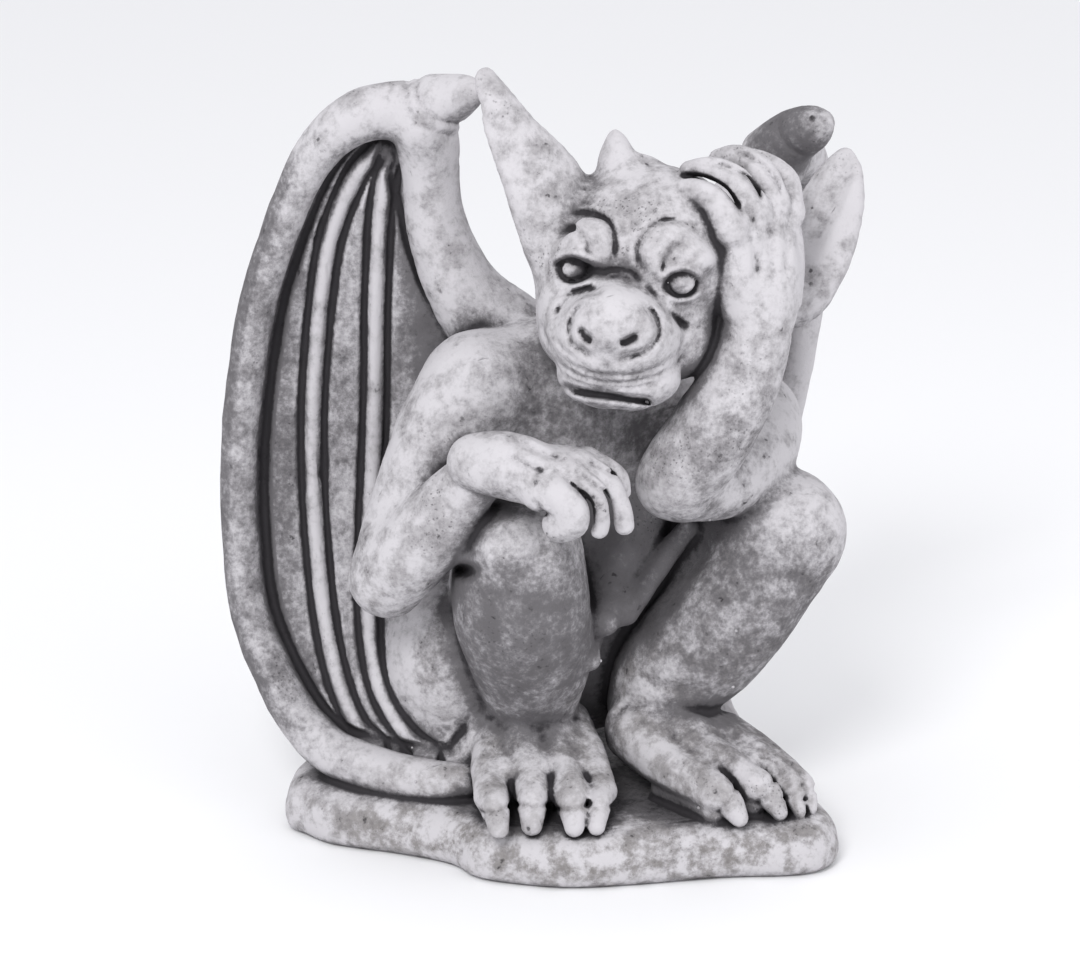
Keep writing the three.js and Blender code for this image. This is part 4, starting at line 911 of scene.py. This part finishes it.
def weather(mesh):
    """Roughens the cast surface: hand-worked unevenness, pits, and the crinkled skin of the wings."""
    at, normal = vertex_places(mesh), vertex_normals(mesh)
    height = np.zeros(len(at))
    for size, amount in UNEVEN:
        height += amount * np.array([stone_noise.noise(Vector(p)) for p in (at / size).tolist()])
    cells = np.array([stone_noise.cell(Vector(p)) for p in (at / PIT_SIZE).tolist()])
    spots = np.array([stone_noise.noise(Vector(p)) for p in (at / PIT_SIZE + 40.0).tolist()])
    height -= PIT_DEPTH * rise(cells, 0.86, 0.9) * rise(spots, 0.18, 0.42)
    for group in (right_wing, left_wing):
        share, a, z = group.panel(at.astype(np.float32))
        chosen = np.nonzero(share > 0.01)[0]
        for i in chosen.tolist():
            bend = 3.0 * stone_noise.noise(Vector((a[i] / 9, z[i] / 14, 3.0)))
            crease = stone_noise.noise(Vector((a[i] / 16, (z[i] + 0.7 * a[i] + bend) / 3.4, 9.0)))
            height[i] += share[i] * WRINKLE_DEPTH * (0.3 - 2.0 * abs(crease))
    height *= rise(at[:, 2], 1.0, 3.0)
    at += normal * height[:, None]
    set_vertex_places(mesh, at)
    mesh.update()


UNDERSIDE = 0.35        # points lower than this lie on the underside


def make_stone_mesh():
    volume, origin = sample_volume()
    stone = bpy.data.objects.new("gargoyle_stone", mesh_from_volume(volume, origin))
    bpy.context.scene.collection.objects.link(stone)
    stone = largest_body(stone)
    stone.name = "gargoyle_stone"
    thin_out(stone)
    mesh = stone.data
    at = vertex_places(mesh)
    at[at[:, 2] < UNDERSIDE, 2] = 0
    set_vertex_places(mesh, at)
    mesh.polygons.foreach_set("use_smooth", np.ones(len(mesh.polygons), bool))
    mesh.update()
    describe_surface(mesh, volume, origin)
    weather(mesh)
    return stone


# Cast stone: off-white, with dark antiquing left in the hollows, pits and a fine grain, and painted shade on the shaded
# sides, undersides and lower body

def node(tree, kind, **settings):
    made = tree.nodes.new(kind)
    for name, value in settings.items():
        if name in made.bl_rna.properties.keys():
            setattr(made, name, value)
        else:
            made.inputs[name].default_value = value
    return made


def ramp(tree, source, low, high):
    """Maps a value from low..high to 0..1, softly."""
    made = node(tree, "ShaderNodeMapRange", clamp=True, interpolation_type="SMOOTHSTEP")
    made.inputs["From Min"].default_value = low
    made.inputs["From Max"].default_value = high
    tree.links.new(source, made.inputs["Value"])
    return made.outputs["Result"]


def maths(tree, operation, *values):
    made = node(tree, "ShaderNodeMath", operation=operation)
    for socket, value in zip(made.inputs, values):
        if isinstance(value, (int, float)):
            socket.default_value = value
        else:
            tree.links.new(value, socket)
    return made.outputs[0]


def attribute(tree, name):
    return node(tree, "ShaderNodeAttribute", attribute_name=name).outputs["Fac"]


def noise(tree, coordinates, scale, detail=4.0, roughness=0.55):
    made = node(tree, "ShaderNodeTexNoise", Scale=scale, Detail=detail, Roughness=roughness)
    tree.links.new(coordinates, made.inputs["Vector"])
    return made.outputs["Fac"]


def specks(tree, coordinates, scale, low, high):
    """Ragged marks at scattered points: 1 at a mark's middle, 0 outside it."""
    ragged = node(tree, "ShaderNodeTexNoise", Scale=1.6 * scale, Detail=2.0)
    tree.links.new(coordinates, ragged.inputs["Vector"])
    bent = tree.nodes.new("ShaderNodeVectorMath")
    bent.operation = "MULTIPLY_ADD"
    tree.links.new(ragged.outputs["Color"], bent.inputs[0])
    bent.inputs[1].default_value = (0.8 / scale, 0.8 / scale, 0.8 / scale)
    tree.links.new(coordinates, bent.inputs[2])
    cells = node(tree, "ShaderNodeTexVoronoi", Scale=scale, Randomness=1.0)
    tree.links.new(bent.outputs["Vector"], cells.inputs["Vector"])
    return ramp(tree, maths(tree, "MULTIPLY", cells.outputs["Distance"], -1.0), -high, -low)


def stretched(tree, coordinates, turn, scale):
    made = node(tree, "ShaderNodeMapping")
    made.inputs["Rotation"].default_value = turn
    made.inputs["Scale"].default_value = scale
    tree.links.new(coordinates, made.inputs["Vector"])
    return made.outputs["Vector"]


def mix_colour(tree, share, a, b):
    made = tree.nodes.new("ShaderNodeMix")
    made.data_type = "RGBA"
    tree.links.new(share, made.inputs[0])
    for socket, value in ((made.inputs[6], a), (made.inputs[7], b)):
        if isinstance(value, tuple):
            socket.default_value = (*value, 1.0)
        else:
            tree.links.new(value, socket)
    return made.outputs[2]


CHALK = (0.52, 0.505, 0.525)
WORN_GREY = (0.29, 0.278, 0.288)
LOWER_TONE_AND_SHADE_GREY = (0.22, 0.207, 0.203)
ANTIQUE_AND_SHADE_GREY = (0.095, 0.090, 0.096)
ANTIQUE_AND_SHADE_BLACK = (0.022, 0.020, 0.023)


def make_stone_material():
    material = bpy.data.materials.new("antiqued_cast_stone")
    material.use_nodes = True
    tree = material.node_tree
    shader = tree.nodes["Principled BSDF"]
    shader.inputs["Roughness"].default_value = 0.84
    shader.inputs["Specular IOR Level"].default_value = 0.22
    place = tree.nodes.new("ShaderNodeTexCoord").outputs["Object"]
    clouds = noise(tree, place, 16.0, 5.0, 0.6)
    mottle = noise(tree, place, 75.0, 7.0, 0.68)
    fine = noise(tree, place, 330.0, 6.0, 0.7)
    grain = noise(tree, place, 1400.0, 3.0, 0.6)
    scratches = noise(tree, stretched(tree, place, (0.3, 0.5, 0.2), (40.0, 260.0, 90.0)), 1.0, 5.0, 0.6)
    pits = maths(tree, "MULTIPLY", specks(tree, place, 210.0, 0.16, 0.30), ramp(tree, mottle, 0.57, 0.66))
    small_pits = maths(tree, "MULTIPLY", specks(tree, place, 480.0, 0.14, 0.30), ramp(tree, clouds, 0.54, 0.66))

    fold = attribute(tree, "fold")
    hollow = attribute(tree, "hollow")
    raised = attribute(tree, "raised")
    painted_shade_and_wash = attribute(tree, "painted_shade_and_wash")
    lower_tone_and_shade = attribute(tree, "lower_tone_and_shade")

    worn = ramp(tree, maths(tree, "ADD", mottle, maths(tree, "MULTIPLY", clouds, 0.6)), 0.72, 0.98)
    stone = mix_colour(tree, maths(tree, "MULTIPLY", worn, 0.75), CHALK, WORN_GREY)
    # Darker, warmer grey low down: partly the stone's own tone, partly painted shade.
    stone = mix_colour(tree, maths(tree, "MULTIPLY", lower_tone_and_shade, ramp(tree, mottle, 0.42, 0.62)), stone, LOWER_TONE_AND_SHADE_GREY)
    stone = mix_colour(tree, maths(tree, "MULTIPLY", raised, 0.45), stone, CHALK)

    # The dark wash: antiquing left in the hollows and folds, with the painted shade added to it.
    wash_and_shade = maths(tree, "ADD", maths(tree, "MULTIPLY", hollow, 1.0), maths(tree, "MULTIPLY", fold, 0.5))
    wash_and_shade = maths(tree, "ADD", wash_and_shade, painted_shade_and_wash)
    wash_and_shade = maths(tree, "SUBTRACT", wash_and_shade, maths(tree, "MULTIPLY", raised, 0.16))
    wash_and_shade = maths(tree, "ADD", wash_and_shade, maths(tree, "MULTIPLY_ADD", clouds, 0.5, -0.22))
    wash_and_shade = maths(tree, "ADD", wash_and_shade, maths(tree, "MULTIPLY_ADD", mottle, 1.3, -0.65))
    wash_and_shade = maths(tree, "ADD", wash_and_shade, maths(tree, "MULTIPLY_ADD", fine, 1.5, -0.75))
    stone = mix_colour(tree, maths(tree, "MULTIPLY", ramp(tree, wash_and_shade, -0.10, 0.95), 0.9), stone, ANTIQUE_AND_SHADE_GREY)

    # Near-black antiquing in the folds and hollows, with a quarter of the painted shade added.
    crevice_and_shade = maths(tree, "ADD", fold, maths(tree, "MULTIPLY", hollow, 0.55))
    crevice_and_shade = maths(tree, "ADD", crevice_and_shade, maths(tree, "MULTIPLY_ADD", fine, 1.6, -0.8))
    crevice_and_shade = maths(tree, "ADD", crevice_and_shade, maths(tree, "MULTIPLY", painted_shade_and_wash, 0.25))
    crevice_and_shade = maths(tree, "MULTIPLY", ramp(tree, crevice_and_shade, 0.45, 1.55), 0.9)
    stone = mix_colour(tree, crevice_and_shade, stone, ANTIQUE_AND_SHADE_BLACK)

    marks = maths(tree, "MAXIMUM", pits, maths(tree, "MULTIPLY", small_pits, 0.7))
    marks = maths(tree, "MAXIMUM", marks, maths(tree, "MULTIPLY", ramp(tree, scratches, 0.66, 0.74), 0.6))
    stone = mix_colour(tree, maths(tree, "MULTIPLY", marks, 0.75), stone, ANTIQUE_AND_SHADE_BLACK)
    tree.links.new(stone, shader.inputs["Base Color"])

    relief = maths(tree, "ADD", maths(tree, "MULTIPLY", mottle, 0.9), maths(tree, "MULTIPLY", fine, 0.6))
    relief = maths(tree, "ADD", relief, maths(tree, "MULTIPLY", grain, 0.25))
    relief = maths(tree, "SUBTRACT", relief, maths(tree, "MULTIPLY", marks, 0.8))
    bumps = node(tree, "ShaderNodeBump", Strength=0.55, Distance=0.0009)
    tree.links.new(relief, bumps.inputs["Height"])
    tree.links.new(bumps.outputs["Normal"], shader.inputs["Normal"])
    return material


stone = make_stone_mesh()
stone_material = make_stone_material()
stone.data.materials.append(stone_material)


# Casting beads: small round drops of stone that air bubbles in the mould have left

BEAD_RADIUS = 0.8                   # millimetres
BEADS = 46
BEAD_SEED = 7
LISTED_BEADS = [(HEAD, 6.5, 26.5), (HEAD, -5.5, 10.5), (HEAD, 0.5, 13.5), (HEAD, -52.9, 17.9), (HAND_R, 4.5, 11.6)]


def bead_places(mesh):
    """The beads seen on the head and the hand, and others strewn over the surface."""
    tree = BVHTree.FromPolygons([v.co for v in mesh.vertices], [list(p.vertices) for p in mesh.polygons])
    places = []
    for axes, right, up in LISTED_BEADS:
        start = Vector(axes.world([right, up, 200]) * MM)
        hit = tree.ray_cast(start, Vector(-axes.rows[2]))[0]
        if hit is not None:
            places.append(hit)
    pick = np.random.default_rng(BEAD_SEED).integers(0, len(mesh.polygons), BEADS)
    places += [mesh.polygons[i].center for i in pick.tolist() if mesh.polygons[i].center.z > SLAB_THICKNESS * MM]
    return places


def bead_tree():
    """Sets a round bead of a slightly varied size on every point."""
    tree = bpy.data.node_groups.new("casting_beads", "GeometryNodeTree")
    tree.interface.new_socket("Points", in_out="INPUT", socket_type="NodeSocketGeometry")
    for name, kind in (("Bead radius", "NodeSocketFloat"), ("Seed", "NodeSocketInt"),
                       ("Stone", "NodeSocketMaterial")):
        tree.interface.new_socket(name, in_out="INPUT", socket_type=kind)
    tree.interface.new_socket("Beads", in_out="OUTPUT", socket_type="NodeSocketGeometry")
    inputs = tree.nodes.new("NodeGroupInput")
    to_points = tree.nodes.new("GeometryNodeMeshToPoints")
    bead = tree.nodes.new("GeometryNodeMeshIcoSphere")
    bead.inputs["Subdivisions"].default_value = 2
    size = tree.nodes.new("FunctionNodeRandomValue")
    size.inputs[2].default_value = 0.55
    size.inputs[3].default_value = 1.15
    place = tree.nodes.new("GeometryNodeInstanceOnPoints")
    realize = tree.nodes.new("GeometryNodeRealizeInstances")
    paint = tree.nodes.new("GeometryNodeSetMaterial")
    output = tree.nodes.new("NodeGroupOutput")
    link = tree.links.new
    link(inputs.outputs["Points"], to_points.inputs["Mesh"])
    link(inputs.outputs["Bead radius"], bead.inputs["Radius"])
    link(inputs.outputs["Seed"], size.inputs["Seed"])
    link(to_points.outputs["Points"], place.inputs["Points"])
    link(bead.outputs["Mesh"], place.inputs["Instance"])
    link(size.outputs[1], place.inputs["Scale"])
    link(place.outputs["Instances"], realize.inputs["Geometry"])
    link(realize.outputs["Geometry"], paint.inputs["Geometry"])
    link(inputs.outputs["Stone"], paint.inputs["Material"])
    link(paint.outputs["Geometry"], output.inputs["Beads"])
    return tree


def add_beads():
    """Makes the beads and joins them to the stone, which is one casting."""
    points = bpy.data.meshes.new("bead_points")
    points.from_pydata(bead_places(stone.data), [], [])
    carrier = bpy.data.objects.new("bead_points", points)
    bpy.context.scene.collection.objects.link(carrier)
    modifier = carrier.modifiers.new("beads", "NODES")
    modifier.node_group = bead_tree()
    socket = {item.name: item.identifier for item in modifier.node_group.interface.items_tree}
    modifier[socket["Bead radius"]] = BEAD_RADIUS * MM
    modifier[socket["Seed"]] = BEAD_SEED
    modifier[socket["Stone"]] = stone_material
    evaluated = carrier.evaluated_get(bpy.context.evaluated_depsgraph_get())
    mesh = bpy.data.meshes.new_from_object(evaluated)
    bpy.data.objects.remove(carrier)
    mesh.polygons.foreach_set("use_smooth", np.ones(len(mesh.polygons), bool))
    for name, value in (("fold", 0.0), ("hollow", 0.25), ("raised", 0.4), ("painted_shade_and_wash", 0.0), ("lower_tone_and_shade", 0.0)):
        add_attribute(mesh, name, np.full(len(mesh.vertices), value))
    beads = bpy.data.objects.new("casting_beads", mesh)
    bpy.context.scene.collection.objects.link(beads)
    bpy.ops.object.select_all(action="DESELECT")
    beads.select_set(True)
    stone.select_set(True)
    bpy.context.view_layer.objects.active = stone
    bpy.ops.object.join()


add_beads()
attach(stone, "root")
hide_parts("gargoyle")


# Floor, light and camera

def make_floor():
    mesh = bpy.data.meshes.new("studio_floor")
    half = 3.0
    mesh.from_pydata([(-half, -half, 0), (half, -half, 0), (half, half, 0), (-half, half, 0)], [], [(0, 1, 2, 3)])
    floor = bpy.data.objects.new("studio_floor", mesh)
    material = bpy.data.materials.new("pale_floor")
    material.use_nodes = True
    material.node_tree.nodes["Principled BSDF"].inputs["Base Color"].default_value = (0.86, 0.86, 0.87, 1)
    material.node_tree.nodes["Principled BSDF"].inputs["Roughness"].default_value = 0.9
    mesh.materials.append(material)
    bpy.context.scene.collection.objects.link(floor)


def soft_light(name, place, target, size, power):
    data = bpy.data.lights.new(name, "AREA")
    data.shape = "DISK"
    data.size = size
    data.energy = power
    light = bpy.data.objects.new(name, data)
    light.location = place
    light.rotation_euler = (Vector(target) - Vector(place)).to_track_quat("-Z", "Y").to_euler()
    bpy.context.scene.collection.objects.link(light)


def make_light():
    world = bpy.data.worlds.new("studio")
    world.use_nodes = True
    world.node_tree.nodes["Background"].inputs["Color"].default_value = (0.97, 0.975, 1.0, 1)
    world.node_tree.nodes["Background"].inputs["Strength"].default_value = 0.95
    bpy.context.scene.world = world
    middle = (0.0, 0.0, 0.2)
    soft_light("key", (-1.1, -1.5, 1.7), middle, 0.8, 30)
    soft_light("fill", (1.4, -1.3, 0.9), middle, 1.2, 6)
    bpy.context.scene.view_settings.view_transform = "Standard"


VIEW_TARGET = Vector((-0.005, 0.018, 0.172))
VIEW_DISTANCE = 1.8
IMAGE_WIDTH_AT_TARGET = 1080 / 2.09 * MM     # the photograph's width, at 2.09 pixels per millimetre
SENSOR_WIDTH = 36.0


def make_camera():
    data = bpy.data.cameras.new("view")
    data.sensor_width = SENSOR_WIDTH
    data.lens = SENSOR_WIDTH * VIEW_DISTANCE / IMAGE_WIDTH_AT_TARGET
    camera = bpy.data.objects.new("view", data)
    turn, tilt = math.radians(TURN), math.radians(TILT)
    back = Vector((math.sin(turn) * math.cos(tilt), -math.cos(turn) * math.cos(tilt), math.sin(tilt)))
    camera.location = VIEW_TARGET + VIEW_DISTANCE * back
    camera.rotation_euler = (-back).to_track_quat("-Z", "Y").to_euler()
    bpy.context.scene.collection.objects.link(camera)
    bpy.context.scene.camera = camera


make_floor()
make_light()
make_camera()
